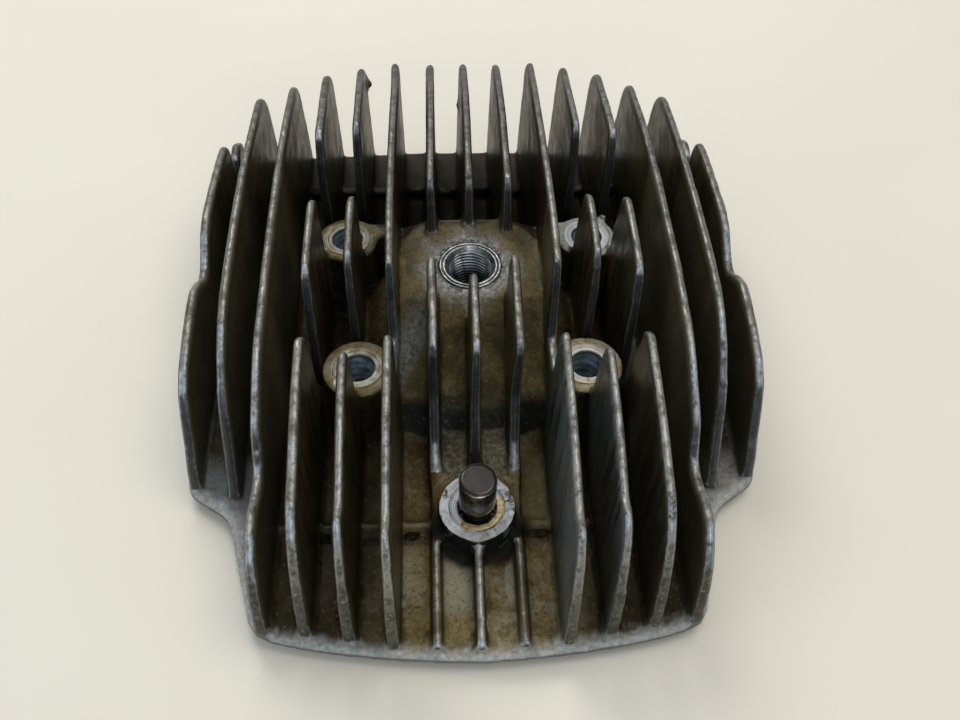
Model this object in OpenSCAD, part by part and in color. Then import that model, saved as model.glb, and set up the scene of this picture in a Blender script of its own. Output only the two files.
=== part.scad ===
// Air-cooled two-stroke cylinder head: a finned aluminium casting with a
// steel spark plug thread insert, four stud washers and a push-down
// compression release valve that stands in a boss at the front.
//
// Millimetres. +Z is up, away from the cylinder. The origin lies on the
// gasket face, in the middle of the fin plate. The release valve is at -Y.

/* [Fin plate] */
// Half of the plate's length, front to back
plate_half_y = 99.8; // [96:0.1:104]
// Half of the plate's width at the outermost fins
plate_half_x = 83.4; // [82:0.1:86]
// Thickness of the plate that carries the fins
plate_t = 3.2; // [2.8:0.1:4]
// How far the gasket pad stands below the plate
pad_t = 2.8; // [2:0.1:3.5]

/* [Fins] */
// Distance between neighbouring fins
fin_pitch = 11.5; // [11.2:0.1:11.8]
// Thickness of a fin at its root
fin_root_t = 3.5; // [3:0.1:4]
// Thickness of a fin at the height of the tallest one
fin_tip_t = 2.3; // [1.8:0.1:2.6]
// Fall of the crown line over the distance crown_reach
crown_fall = 10; // [8:0.5:12]

/* [Crown of the head] */
// Height of the plug seat above the plate
seat_h = 34.5; // [32:0.5:37]
// Place of the spark plug along Y
plug_y = 8; // [6:0.5:10]
// Radius of the combustion chamber's ball
chamber_r = 31.9; // [30:0.1:33]
// Height of the chamber's top above the plate
chamber_top = 15; // [13:0.5:16]
// Place of the cylinder's axis along Y
cylinder_y = 3.5; // [2:0.5:5]

/* [Cylinder studs] */
// Half of the distance between the front studs
stud_front_x = 33; // [32:0.5:35]
// Half of the distance between the rear studs
stud_rear_x = 38.2; // [37:0.1:40]
// Place of the front studs along Y
stud_front_y = -22.5; // [-24:0.5:-21]
// Place of the rear studs along Y
stud_rear_y = 29; // [28:0.5:31]
// Height of the stud seats above the plate
stud_seat_h = 25; // [23:0.5:27]
// Radius of a stud hole
stud_hole_r = 4.6; // [4.3:0.1:4.8]
// Radius of a front stud boss
front_boss_r = 10.4; // [10:0.1:11]
// Radius of a rear stud boss
rear_boss_r = 9.6; // [9:0.1:11]

/* [Compression release] */
// Place of the release valve along Y
valve_y = -59.4; // [-61:0.1:-58]
// Height of the valve boss above the plate
valve_boss_h = 9; // [8.5:0.1:10]
// Radius of the valve boss
valve_boss_r = 10.7; // [10.5:0.1:11.5]
// Radius of the push button
button_r = 5.1; // [4.8:0.1:5.2]
// How far the valve opens when its button is pressed
valve_travel = 2.2; // [1.8:0.1:2.3]

/* [Hidden] */
$fn = 96;

deck = pad_t + plate_t;            // top of the plate
overlap = 1;                       // how far the fins reach into the plate
long_cut = 300;                    // longer than the head in any direction
crown_mid = 12;                    // where along Y the crown is highest
crown_reach = 81;                  // distance over which the crown falls
fin_full_h = 56;                   // height at which a fin has its tip thickness
crown_h = [54, 54.5, 56, 55, 53.5, 50, 46.5, 36.5];
// Upper rear corner of each fin: place along Y, height and radius of its round, place of its foot
rear_corner = [[91.1, 37.3, 7, 99.4], [89.3, 37.2, 8, 99.2], [86.8, 38.3, 9, 98.8], [83.9, 35.9, 11, 98.3],
               [79.9, 32.3, 14, 97.5], [78.6, 30.1, 13, 95.6], [75.7, 26.2, 14, 93.4]];
chamber_z = deck + chamber_top - chamber_r;

// Spark plug thread insert
insert_flange_r = 9.3;
insert_flange_t = 2;
insert_body_r = 8.2;
insert_len = 19;
thread_bore_r = 6.3;
plug_seat_z = deck + seat_h;
insert_bottom_z = plug_seat_z - insert_len;

// Stud washers
washer_r = 7.3;
washer_hole_r = 4.7;
washer_t = 1.4;
washer_recess = 1.1;
stud_seat_z = deck + stud_seat_h;

// Release valve, from the bottom up
pocket_plug_r = 6;
pocket_flange_r = 8.5;
pocket_flange_z0 = 0.4;
pocket_flange_z1 = 1.8;
pocket_washer_z1 = 2.6;
pocket_z0 = 4;
pocket_r = 5.5;
seat_ring_z0 = 8;
seat_ring_z1 = 10;
bush_r = 7.8;
bush_mouth_r = 5.4;
vent_r = 0.8;
vent_place_r = 4.25;
bush_floor_z = 11.5;
boss_top_z = deck + valve_boss_h;
shank_r = 3;
shank_gap = 0.05;
head_gap = 0.05;
valve_head_r = 4.6;
valve_head_t = 1.6;
valve_head_top = seat_ring_z0 - head_gap;
button_z0 = boss_top_z + 1.6;
button_z1 = boss_top_z + 15;
shank_top = button_z1 - 3;
groove_z0 = button_z1 - 1.8;
groove_t = 0.9;
groove_r = 4.4;
ring_r = 5.25;
passage_r = 1.8;
passage_z = 6.4;

// Return spring
wire_r = 0.35;
coil_r = 3.75;
coil_turns = 3;
wire_sides = 8;
steps_per_turn = 20;

// Height of fin k's crown line above the plate at y
function crown(k, y) = crown_h[k] - crown_fall * pow((y - crown_mid) / crown_reach, 2);

// Points of fin k's crown line from y0 to y1
function crown_line(k, y0, y1) = [for (i = [0:7]) let (y = y0 + (y1 - y0) * i / 7) [y, crown(k, y)]];

// Quarter ellipse that rises from the plate at y0 to the fin's top at y1
function nose(y0, y1, h) =
    concat([[y0, -overlap]], [for (a = [0:11.25:78.75]) [y1 - (y1 - y0) * cos(a), h * sin(a)]]);

// Rounded upper corner at fin k's rear end, down to its foot
function rear_end(k) = let (c = rear_corner[k])
    concat([for (a = [76:-14:6]) [c[0] + c[2] * cos(a), c[1] + c[2] * sin(a)]], [[c[3], -overlap]]);

// Outlines of the fins in the YZ plane, counted from the middle one outwards.
// Each fin is a list of separate stretches, from front to rear.
function fin_outlines(k) =
    k == 0 ? [
        concat([[-97.5, -1], [-97.5, 2.6], [-70, 8.6], [-52, 8.6], [-46, 10], [-38.5, 30], [-38, 44], [-37, 48.5]],
               crown_line(0, -35, -12), [[-9.5, 49], [-8, -1]]),
        concat([[26, -1], [24, 34], [24.5, 49]], crown_line(0, 28, 92), rear_end(0))] :
    k == 1 ? [
        concat([[-97, -1], [-97, 2.8], [-62, 3.4], [-50, 6.3], [-40, 11], [-33, 25], [-34.5, 40], [-37, 47.5]],
               crown_line(1, -35, -6), [[-3.5, 49], [-2, -1]]),
        concat([[23, -1], [21.5, 32], [21, 44], [22.5, 51.5]], crown_line(1, 25, 90.5), rear_end(1))] :
    k == 2 ? [
        concat(nose(-96.5, -83, 46), crown_line(2, -81, -33),
               [[-31, 50], [-29.5, 30], [-16.5, 29], [-13, 40], [-12, 48]],
               crown_line(2, -10, 88), rear_end(2))] :
    k == 3 ? [
        concat(nose(-94, -79, 45.5), crown_line(3, -77, -37.5), [[-35, 49], [-33.2, 42], [-31.5, 24], [-31.5, -1]]),
        concat([[-10.5, -1], [-10, 30], [-10, 43], [-7.5, 52]], crown_line(3, -5, 15.5),
               [[19.3, 52.5], [21.5, 43], [24.7, 22], [26, -1]]),
        concat([[47, -1], [46, 30], [47, 41], [49, 50]], crown_line(3, 52, 86), rear_end(3))] :
    k == 4 ? [
        concat(nose(-92.5, -73, 43), crown_line(4, -70, -32), [[-28.5, 47], [-26, 24], [-25, -1]]),
        concat([[-16, -1], [-15, 30], [-14, 40], [-11.5, 50]], crown_line(4, -8, 16.5),
               [[19.5, 51], [21.3, 37], [22.8, 24], [24, -1]]),
        concat([[47, -1], [45, 28], [45.5, 42], [48, 49.5]], crown_line(4, 51, 82.5), rear_end(4))] :
    k == 5 ? [
        concat([[-91.8, -1], [-90.8, 8], [-89, 16], [-86.5, 22], [-83, 26.5], [-78, 30.8], [-72, 31],
                [-66, 28.6], [-60.5, 27], [-57, 28.6], [-54.5, 33], [-51.5, 37.6], [-46, 40.5], [-38, 44.6]],
               crown_line(5, -30, 80.5), rear_end(5))] :
    k == 6 ? [
        concat([[-52, -1], [-47, 9], [-42.7, 18], [-38.5, 27], [-35, 32], [-30.5, 37.2], [-26, 40.6], [-19, 43.8]],
               crown_line(6, -12, 78), rear_end(6))] : [
        concat([[-48, -1], [-47, 4], [-45, 8.5], [-41.5, 14], [-38.5, 21], [-34, 28.5], [-28, 32.5], [-18, 34.8]],
               crown_line(7, -11, -2), [[4, 33], [9, 28.6], [13, 29], [17, 31.2], [22, 34.6]],
               crown_line(7, 29, 60), [[66.5, 31.5], [68.5, 28.5], [72, 9], [76, 17.5], [82, 19], [87.5, 15.5],
               [91.5, -1]])];

// One half of the plate's edge, from the front round to the back
half_edge = [[0, -plate_half_y], [12, -99.2], [24, -98.2], [36, -96.7], [47, -94.8], [55, -92.8], [59.3, -90.7],
             [61.8, -87.3], [63, -82.5], [66.3, -71], [68.6, -62], [70, -57.6], [72.2, -55.2], [78.5, -51],
             [81.8, -48.6], [83.1, -45], [plate_half_x, -10], [plate_half_x, 60], [83, 87], [81.2, 92.2],
             [76, 94.6], [62, 96.6], [46, 98], [30, 99], [14, 99.6], [0, plate_half_y]];

// Side view of the raised crown between the two fins beside the plug
crown_block = [[-28, -overlap], [-28, 15], [-26.5, 17], [-18, 21.5], [-10, 28.5], [-4, 33.4], [0, seat_h],
               [26, seat_h], [29, 33], [31, 28], [32.5, -overlap]];

// Section of the round shoulder that carries the crown, radius and height
shoulder = [[0, -overlap], [37, -overlap], [36.5, 7], [33.5, 13.5], [28, 18.5], [21, 21], [0, 21]];

// A plate with its outline in the YZ plane, thickness t along X
module side_plate(outline, t) {
    rotate([90, 0, 90]) linear_extrude(t, center = true) polygon(outline);
}

// A round bar from x0 to x1
module bar(x0, x1, y, z, r) {
    translate([x0, y, z]) rotate([0, 90, 0]) cylinder(h = x1 - x0, r = r, $fn = 24);
}

module mirrored() {
    children();
    mirror([1, 0, 0]) children();
}

module at_front_studs() {
    for (s = [1, -1]) translate([s * stud_front_x, stud_front_y, 0]) children();
}

module at_rear_studs() {
    for (s = [1, -1]) translate([s * stud_rear_x, stud_rear_y, 0]) children();
}

module at_studs() {
    at_front_studs() children();
    at_rear_studs() children();
}

// One fin with its draft: thick at the root, thin at the tip
module fin(k) {
    intersection() {
        for (outline = fin_outlines(abs(k))) side_plate(outline, fin_root_t + 1);
        rotate([90, 0, 0]) linear_extrude(long_cut, center = true)
            polygon([[-fin_root_t / 2, -overlap], [fin_root_t / 2, -overlap],
                     [fin_tip_t / 2, fin_full_h], [-fin_tip_t / 2, fin_full_h]]);
    }
}

module fins() {
    for (k = [-7:7]) translate([k * fin_pitch, 0, deck]) fin(k);
}

module fin_plate() {
    left_edge = [for (i = [len(half_edge) - 2:-1:1]) [-half_edge[i][0], half_edge[i][1]]];
    translate([0, 0, pad_t]) linear_extrude(plate_t) polygon(concat(half_edge, left_edge));
}

// Low round bars across the plate that stiffen the fins
module stiffening_bars() {
    mirrored() {
        bar(fin_pitch, 5 * fin_pitch, -61.5, deck + 1.2, 1.7);
        bar(0, 6 * fin_pitch, 76, deck + 1.2, 1.7);
        bar(6 * fin_pitch, 7 * fin_pitch, -9, deck + 2.5, 1.8);
    }
}

// Raised crown, round shoulder, stud bosses and the webs that join them
module crown_body() {
    translate([0, 0, deck]) side_plate(crown_block, 4 * fin_pitch);
    translate([0, cylinder_y, deck]) rotate_extrude() polygon(shoulder);
    at_front_studs() translate([0, 0, deck - overlap]) cylinder(h = stud_seat_h + overlap, r = front_boss_r);
    at_rear_studs() translate([0, 0, deck - overlap]) cylinder(h = stud_seat_h + overlap, r = rear_boss_r);
    mirrored() {
        translate([18, 30, deck - overlap]) cube([16, 6, stud_seat_h + overlap]);
        translate([18, -28, deck - overlap]) cube([10, 9, 16]);
    }
}

// Boss of the release valve and the raised strip that holds its gas passage
module valve_boss() {
    translate([0, valve_y, pocket_flange_z0]) cylinder(h = boss_top_z - pocket_flange_z0, r = valve_boss_r);
    translate([-9.2, valve_y, pad_t]) cube([18.4, -26 - valve_y, deck + 6.5 - pad_t]);
}

module gasket_pad() {
    translate([0, cylinder_y, 0]) cylinder(h = pad_t + overlap, r = 44);
    at_studs() cylinder(h = pad_t + overlap, r = 12);
}

// Small casting marks left on the fins and beside a stud boss
module casting_pips() {
    translate([-3 * fin_pitch + 1.6, 90, deck + 38.6]) sphere(r = 1.9, $fn = 24);
    translate([-1.4, 87, deck + 35.5]) sphere(r = 1.8, $fn = 24);
    translate([stud_rear_x + 6.3, stud_rear_y + 7.9, stud_seat_z - 0.2]) sphere(r = 1.1, $fn = 24);
}

module chamber() {
    translate([0, cylinder_y, -1]) cylinder(h = 2, r = 36);
    translate([0, cylinder_y, chamber_z]) sphere(r = chamber_r);
}

module plug_hole() {
    translate([0, plug_y, plug_seat_z - insert_flange_t]) cylinder(h = 20, r = insert_flange_r);
    translate([0, plug_y, insert_bottom_z]) cylinder(h = insert_len, r = insert_body_r);
    translate([0, plug_y, deck]) cylinder(h = insert_len, r = thread_bore_r + 0.6);
}

module stud_holes() {
    at_studs() {
        translate([0, 0, -1]) cylinder(h = stud_seat_z + 2, r = stud_hole_r);
        translate([0, 0, stud_seat_z - washer_recess]) cylinder(h = 6, r = washer_r + 0.1);
    }
}

module valve_bores() {
    translate([0, valve_y, 0]) {
        translate([0, 0, -1]) cylinder(h = pocket_washer_z1 + 1, r = pocket_flange_r + 0.2);
        cylinder(h = pocket_z0, r = pocket_plug_r);
        cylinder(h = seat_ring_z1 + 1, r = pocket_r);
        translate([0, 0, seat_ring_z1]) cylinder(h = 20, r = bush_r);
    }
    translate([0, cylinder_y, passage_z]) rotate([90, 0, 0]) cylinder(h = cylinder_y - valve_y - 2, r = passage_r);
}

module head_casting() {
    color([0.26, 0.25, 0.22]) difference() {
        union() {
            fin_plate();
            fins();
            stiffening_bars();
            crown_body();
            valve_boss();
            gasket_pad();
            casting_pips();
        }
        chamber();
        plug_hole();
        stud_holes();
        valve_bores();
    }
}

module plug_thread_insert() {
    color([0.62, 0.62, 0.62]) translate([0, plug_y, 0]) difference() {
        union() {
            translate([0, 0, insert_bottom_z]) cylinder(h = insert_len, r = insert_body_r);
            translate([0, 0, plug_seat_z - insert_flange_t]) cylinder(h = insert_flange_t + 0.2, r = insert_flange_r);
        }
        translate([0, 0, insert_bottom_z - 1]) cylinder(h = insert_len + 3, r = thread_bore_r);
        translate([0, 0, plug_seat_z - 1.1]) cylinder(h = 2, r1 = thread_bore_r, r2 = 8.3);
    }
}

module stud_washer(x, y) {
    color([0.66, 0.65, 0.58]) translate([x, y, stud_seat_z - washer_recess]) difference() {
        cylinder(h = washer_t, r = washer_r);
        translate([0, 0, -1]) cylinder(h = washer_t + 2, r = washer_hole_r);
    }
}

module stud_washer_front_left() {
    stud_washer(-stud_front_x, stud_front_y);
}

module stud_washer_front_right() {
    stud_washer(stud_front_x, stud_front_y);
}

module stud_washer_rear_left() {
    stud_washer(-stud_rear_x, stud_rear_y);
}

module stud_washer_rear_right() {
    stud_washer(stud_rear_x, stud_rear_y);
}

// Bronze bush that guides the stem and holds the spring
module valve_guide_bush() {
    color([0.66, 0.55, 0.34]) translate([0, valve_y, 0]) difference() {
        translate([0, 0, seat_ring_z1]) cylinder(h = boss_top_z - seat_ring_z1, r = bush_r);
        translate([0, 0, bush_floor_z]) cylinder(h = boss_top_z, r = bush_mouth_r);
        cylinder(h = boss_top_z, r = shank_r + shank_gap);
        for (a = [0:90:270]) rotate(a) translate([vent_place_r, 0, 0]) cylinder(h = boss_top_z, r = vent_r, $fn = 24);
    }
}

module valve_seat_ring() {
    color([0.5, 0.5, 0.5]) translate([0, valve_y, seat_ring_z0]) difference() {
        cylinder(h = seat_ring_z1 - seat_ring_z0, r = pocket_r);
        translate([0, 0, -1]) cylinder(h = 4, r = 3.7);
    }
}

// Poppet and its shank, in one piece
module valve_stem() {
    color([0.45, 0.45, 0.46]) translate([0, valve_y, 0]) {
        translate([0, 0, valve_head_top - valve_head_t]) cylinder(h = valve_head_t, r = valve_head_r);
        translate([0, 0, valve_head_top - valve_head_t]) cylinder(h = shank_top - valve_head_top + valve_head_t, r = shank_r);
    }
}

module valve_button() {
    color([0.2, 0.19, 0.18]) translate([0, valve_y, 0]) difference() {
        union() {
            translate([0, 0, button_z0]) cylinder(h = 1, r1 = button_r - 0.9, r2 = button_r);
            translate([0, 0, button_z0 + 1]) cylinder(h = button_z1 - button_z0 - 1.6, r = button_r);
            translate([0, 0, button_z1 - 0.6]) cylinder(h = 0.6, r1 = button_r, r2 = button_r - 0.7);
        }
        translate([0, 0, button_z0 - 1]) cylinder(h = shank_top - button_z0 + 1, r = shank_r);
        translate([0, 0, groove_z0]) difference() {
            cylinder(h = groove_t, r = button_r + 1);
            translate([0, 0, -1]) cylinder(h = groove_t + 2, r = groove_r);
        }
    }
}

module button_snap_ring() {
    color([0.7, 0.7, 0.7]) translate([0, valve_y, groove_z0]) difference() {
        cylinder(h = groove_t, r = ring_r);
        translate([0, 0, -1]) cylinder(h = groove_t + 2, r = groove_r);
        translate([0, 5, 0]) cube([1.6, 6, 6], center = true);
    }
}

// Points of the wire's section number i along the helix
function wire_ring(i, z0, rise) =
    let (a = 360 * i / steps_per_turn, z = z0 + rise * i / (coil_turns * steps_per_turn))
    [for (j = [0:wire_sides - 1]) let (b = 360 * j / wire_sides, r = coil_r + wire_r * cos(b))
        [r * cos(a), r * sin(a), z + wire_r * sin(b)]];

module valve_return_spring() {
    n = coil_turns * steps_per_turn;
    z0 = bush_floor_z + wire_r;
    rise = button_z0 - bush_floor_z - 2 * wire_r;
    points = [for (i = [0:n]) each wire_ring(i, z0, rise)];
    start = [for (j = [0:wire_sides - 1]) j];
    finish = [for (j = [wire_sides - 1:-1:0]) n * wire_sides + j];
    sides = [for (i = [0:n - 1]) for (j = [0:wire_sides - 1])
        let (a = i * wire_sides + j, b = i * wire_sides + (j + 1) % wire_sides)
        [a, a + wire_sides, b + wire_sides, b]];
    color([0.35, 0.35, 0.36]) translate([0, valve_y, 0]) polyhedron(points, concat([start], sides, [finish]));
}

// Screw plug that closes the valve pocket from below
module valve_pocket_plug() {
    color([0.6, 0.6, 0.6]) translate([0, valve_y, 0]) difference() {
        union() {
            translate([0, 0, pocket_flange_z0]) cylinder(h = pocket_flange_z1 - pocket_flange_z0, r = pocket_flange_r);
            translate([0, 0, pocket_flange_z1]) cylinder(h = pocket_z0 - pocket_flange_z1, r = pocket_plug_r);
        }
        cylinder(h = 2.4, r = 3.2, $fn = 6);
    }
}

module pocket_plug_washer() {
    color([0.72, 0.45, 0.3]) translate([0, valve_y, pocket_flange_z1]) difference() {
        cylinder(h = pocket_washer_z1 - pocket_flange_z1, r = pocket_flange_r);
        translate([0, 0, -1]) cylinder(h = 4, r = pocket_plug_r);
    }
}

head_casting();
plug_thread_insert();
stud_washer_front_left();
stud_washer_front_right();
stud_washer_rear_left();
stud_washer_rear_right();
valve_guide_bush();
valve_seat_ring();
valve_stem();
valve_button();
button_snap_ring();
valve_return_spring();
valve_pocket_plug();
pocket_plug_washer();
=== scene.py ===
"""Looks of an air-cooled cylinder head: a finned, oil-stained aluminium casting with a
threaded plug insert, four stud washers and a push-button compression release valve.

Shapes below are in millimetres and become metres when a mesh is made. Places come from
the CAD nodes' boxes.
"""

import math

import bmesh
import bpy
import numpy as np
from mathutils import Matrix, Vector
from mathutils.bvhtree import BVHTree


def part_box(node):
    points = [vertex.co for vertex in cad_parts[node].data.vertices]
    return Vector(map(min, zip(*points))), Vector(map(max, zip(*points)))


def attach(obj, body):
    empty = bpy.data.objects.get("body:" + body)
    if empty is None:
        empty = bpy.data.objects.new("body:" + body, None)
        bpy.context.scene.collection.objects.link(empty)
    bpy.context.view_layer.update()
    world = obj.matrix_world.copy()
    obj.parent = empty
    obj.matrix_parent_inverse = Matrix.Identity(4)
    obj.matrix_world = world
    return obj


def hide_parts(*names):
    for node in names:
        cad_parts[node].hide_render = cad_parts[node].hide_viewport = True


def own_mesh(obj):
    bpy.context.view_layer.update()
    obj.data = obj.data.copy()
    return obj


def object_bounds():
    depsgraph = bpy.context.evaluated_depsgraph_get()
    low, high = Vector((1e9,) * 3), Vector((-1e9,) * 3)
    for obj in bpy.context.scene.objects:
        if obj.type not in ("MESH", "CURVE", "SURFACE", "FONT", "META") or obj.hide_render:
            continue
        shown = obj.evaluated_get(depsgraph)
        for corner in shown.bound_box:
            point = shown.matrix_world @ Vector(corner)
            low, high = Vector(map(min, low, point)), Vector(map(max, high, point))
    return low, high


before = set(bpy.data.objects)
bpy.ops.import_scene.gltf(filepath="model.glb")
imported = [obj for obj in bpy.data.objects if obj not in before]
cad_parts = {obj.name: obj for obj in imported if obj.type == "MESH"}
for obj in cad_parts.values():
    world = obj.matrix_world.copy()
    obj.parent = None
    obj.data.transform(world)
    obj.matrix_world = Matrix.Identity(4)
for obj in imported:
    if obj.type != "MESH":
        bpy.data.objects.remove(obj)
cad_low, cad_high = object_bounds()

MM = 0.001
LONG = 80
FIN_PITCH = 11.5


# ---------------------------------------------------------------- places


def low_mm(node):
    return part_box(node)[0] / MM


def high_mm(node):
    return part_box(node)[1] / MM


def middle_mm(node):
    return (low_mm(node) + high_mm(node)) / 2


STUDS = {
    "front_left": middle_mm("stud_washer_front_left"),
    "front_right": middle_mm("stud_washer_front_right"),
    "rear_left": middle_mm("stud_washer_rear_left"),
    "rear_right": middle_mm("stud_washer_rear_right"),
}
WASHER_LOW = low_mm("stud_washer_front_left").z
WASHER_TOP = high_mm("stud_washer_front_left").z
WASHER_R = high_mm("stud_washer_front_left").x - STUDS["front_left"].x
STUD_HOLE_R = 4.6
STUD_SEAT = WASHER_TOP - 0.3

PLUG = middle_mm("plug_thread_insert")
PLUG_TOP = high_mm("plug_thread_insert").z
PLUG_BOTTOM = low_mm("plug_thread_insert").z
PLUG_SEAT = PLUG_TOP - 0.2
FLANGE_R = high_mm("plug_thread_insert").x - PLUG.x
INSERT_BODY_R = 8.2
THREAD_R = 6.3
THREAD_PITCH = 1.25

VALVE = middle_mm("valve_guide_bush")
BOSS_TOP = high_mm("valve_guide_bush").z
BUSH_LOW = low_mm("valve_guide_bush").z
BUSH_R = high_mm("valve_guide_bush").x - VALVE.x
BOSS_R = 10.7
BUSH_FLOOR = low_mm("valve_return_spring").z
BUTTON_LOW = low_mm("valve_button").z
BUTTON_TOP = high_mm("valve_button").z
BUTTON_R = high_mm("valve_button").x - VALVE.x
RING_LOW = low_mm("button_snap_ring").z
RING_HIGH = high_mm("button_snap_ring").z
POCKET_R = 5.5

CYLINDER_Y = 3.5
PAD_R = 44
DECK = 6
CHAMBER_R = 31.9
CHAMBER_TOP = 21
CHAMBER_Z = CHAMBER_TOP - CHAMBER_R
PASSAGE_Z = 6.4
PASSAGE_R = 1.8


# ---------------------------------------------------------------- mesh tools


def show(name, mesh):
    obj = bpy.data.objects.new(name, mesh)
    bpy.context.scene.collection.objects.link(obj)
    return obj


def make(name, points, faces):
    """An object from points in millimetres."""
    mesh = bpy.data.meshes.new(name)
    mesh.from_pydata([Vector(p) * MM for p in points], [], faces)
    mesh.update()
    return show(name, mesh)


def bake_modifiers(obj):
    depsgraph = bpy.context.evaluated_depsgraph_get()
    mesh = bpy.data.meshes.new_from_object(obj.evaluated_get(depsgraph))
    obj.modifiers.clear()
    obj.data = mesh


def rounded(profile, radius, steps=3):
    """The closed profile with each of its corners rounded off."""
    result = []
    count = len(profile)
    for i in range(count):
        before = Vector(profile[i - 1])
        corner = Vector(profile[i])
        after = Vector(profile[(i + 1) % count])
        reach = min(radius, (before - corner).length * 0.45, (after - corner).length * 0.45)
        start = corner + (before - corner).normalized() * reach
        end = corner + (after - corner).normalized() * reach
        if corner.x == 0:
            result.append(tuple(corner))
            continue
        for step in range(steps + 1):
            t = step / steps
            point = start * (1 - t) ** 2 + corner * 2 * t * (1 - t) + end * t * t
            result.append(tuple(point))
    return result


def arc(centre, radius, start, end, steps):
    """Points of an arc, with its angles in degrees."""
    points = []
    for step in range(steps + 1):
        angle = math.radians(start + (end - start) * step / steps)
        x = centre[0] + radius * math.cos(angle)
        points.append((x, centre[1] + radius * math.sin(angle)))
    return points


def lathe(name, profile, centre, sides=96, shape=None):
    """Turns a closed profile of (radius, height) about the vertical through centre.
    A profile that starts and ends on the axis makes a closed solid."""
    on_axis = profile[0][0] == 0
    points = []
    for side in range(sides):
        angle = 2 * math.pi * side / sides
        for radius, height in profile:
            r, z = shape(radius, height, angle) if shape else (radius, height)
            x = centre[0] + r * math.cos(angle)
            y = centre[1] + r * math.sin(angle)
            points.append((x, y, z))
    count = len(profile)
    faces = []
    for side in range(sides):
        a = side * count
        b = (side + 1) % sides * count
        for i in range(count - 1 if on_axis else count):
            j = (i + 1) % count
            faces.append((a + i, b + i, b + j, a + j))
    obj = make(name, points, faces)
    tidy_mesh(obj.data)
    return obj


def tidy_mesh(mesh):
    """Joins the points that meet, drops faces without area and turns all faces outwards."""
    work = bmesh.new()
    work.from_mesh(mesh)
    bmesh.ops.remove_doubles(work, verts=work.verts, dist=1e-7)
    bmesh.ops.dissolve_degenerate(work, edges=work.edges, dist=1e-7)
    bmesh.ops.recalc_face_normals(work, faces=work.faces)
    work.to_mesh(mesh)
    work.free()
    mesh.update()


def disc(name, radius, bottom, top, centre, sides=96):
    return lathe(name, [(0, bottom), (radius, bottom), (radius, top), (0, top)], centre, sides)


def block(name, low, high):
    corners = [(x, y, z) for x in (low[0], high[0]) for y in (low[1], high[1]) for z in (low[2], high[2])]
    faces = [(0, 1, 3, 2), (4, 6, 7, 5), (0, 4, 5, 1), (2, 3, 7, 6), (0, 2, 6, 4), (1, 5, 7, 3)]
    return make(name, corners, faces)


def bar_along_y(name, radius, start, end, height, sides=32):
    """A round bar along Y, in the plane x = 0."""
    obj = disc(name, radius, start, end, (0, 0), sides)
    obj.data.transform(Matrix.Rotation(math.radians(-90), 4, "X"))
    obj.data.transform(Matrix.Translation((0, 0, height * MM)))
    return obj


def pebble(name, radius, place, squash=1.0):
    """A small uneven ball."""
    mesh = bpy.data.meshes.new(name)
    work = bmesh.new()
    bmesh.ops.create_icosphere(work, subdivisions=2, radius=radius * MM)
    for vert in work.verts:
        vert.co *= 1 + 0.18 * math.sin(vert.co.x / MM * 5 + place[0] * 3) * math.cos(vert.co.y / MM * 4)
        vert.co.z *= squash
    bmesh.ops.translate(work, verts=work.verts, vec=Vector(place) * MM)
    work.to_mesh(mesh)
    work.free()
    return show(name, mesh)


def join(objs):
    """One object that holds the meshes of all of them."""
    work = bmesh.new()
    for obj in objs:
        work.from_mesh(obj.data)
    mesh = bpy.data.meshes.new(objs[0].name)
    work.to_mesh(mesh)
    work.free()
    for obj in objs[1:]:
        bpy.data.objects.remove(obj)
    objs[0].data = mesh
    return objs[0]


def cut(obj, cutters):
    """Takes the cutters away from obj and deletes them."""
    for cutter in cutters:
        modifier = obj.modifiers.new("cut", "BOOLEAN")
        modifier.operation = "DIFFERENCE"
        modifier.solver = "MANIFOLD"
        modifier.object = cutter
    bake_modifiers(obj)
    for cutter in cutters:
        bpy.data.objects.remove(cutter)


def shade(obj, angle=35):
    """Smooth shading with sharp edges past the angle."""
    mesh = obj.data
    mesh.polygons.foreach_set("use_smooth", [True] * len(mesh.polygons))
    work = bmesh.new()
    work.from_mesh(mesh)
    limit = math.radians(angle)
    for edge in work.edges:
        if len(edge.link_faces) == 2:
            edge.smooth = edge.calc_face_angle() < limit
    work.to_mesh(mesh)
    work.free()
    mesh.update()


def read_vectors(data, key):
    values = np.zeros(len(data) * 3, np.float32)
    data.foreach_get(key, values)
    return values.reshape(-1, 3).astype(float)


def lattice_noise(points, cell, seed):
    """Smooth noise from 0 to 1 at points, with features about one cell in size."""
    place = points / cell + seed * 17.31
    base = np.floor(place).astype(np.int64)
    part = place - base
    part = part * part * (3 - 2 * part)
    total = np.zeros(len(points))
    for dx in (0, 1):
        for dy in (0, 1):
            for dz in (0, 1):
                key = (base[:, 0] + dx) * 73856093
                key ^= (base[:, 1] + dy) * 19349663
                key ^= (base[:, 2] + dz) * 83492791
                key = (key * 2654435761 + seed * 97) & 0xFFFFFF
                key = (key ^ (key >> 11)) * 1274126177 & 0xFFFFFF
                weight = np.where(dx, part[:, 0], 1 - part[:, 0])
                weight = weight * np.where(dy, part[:, 1], 1 - part[:, 1])
                weight = weight * np.where(dz, part[:, 2], 1 - part[:, 2])
                total += weight * key / 0xFFFFFF
    return total


def ramp01(values, start, end):
    return np.clip((values - start) / (end - start), 0, 1)


# ---------------------------------------------------------------- casting


VOXEL = 0.8
SMOOTHING = 8
TOP_ROUNDS = 9
CASTING_FACES = 165000


def stud_fill(place):
    return disc("fill", WASHER_R + 0.6, 1, STUD_SEAT, place)


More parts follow.
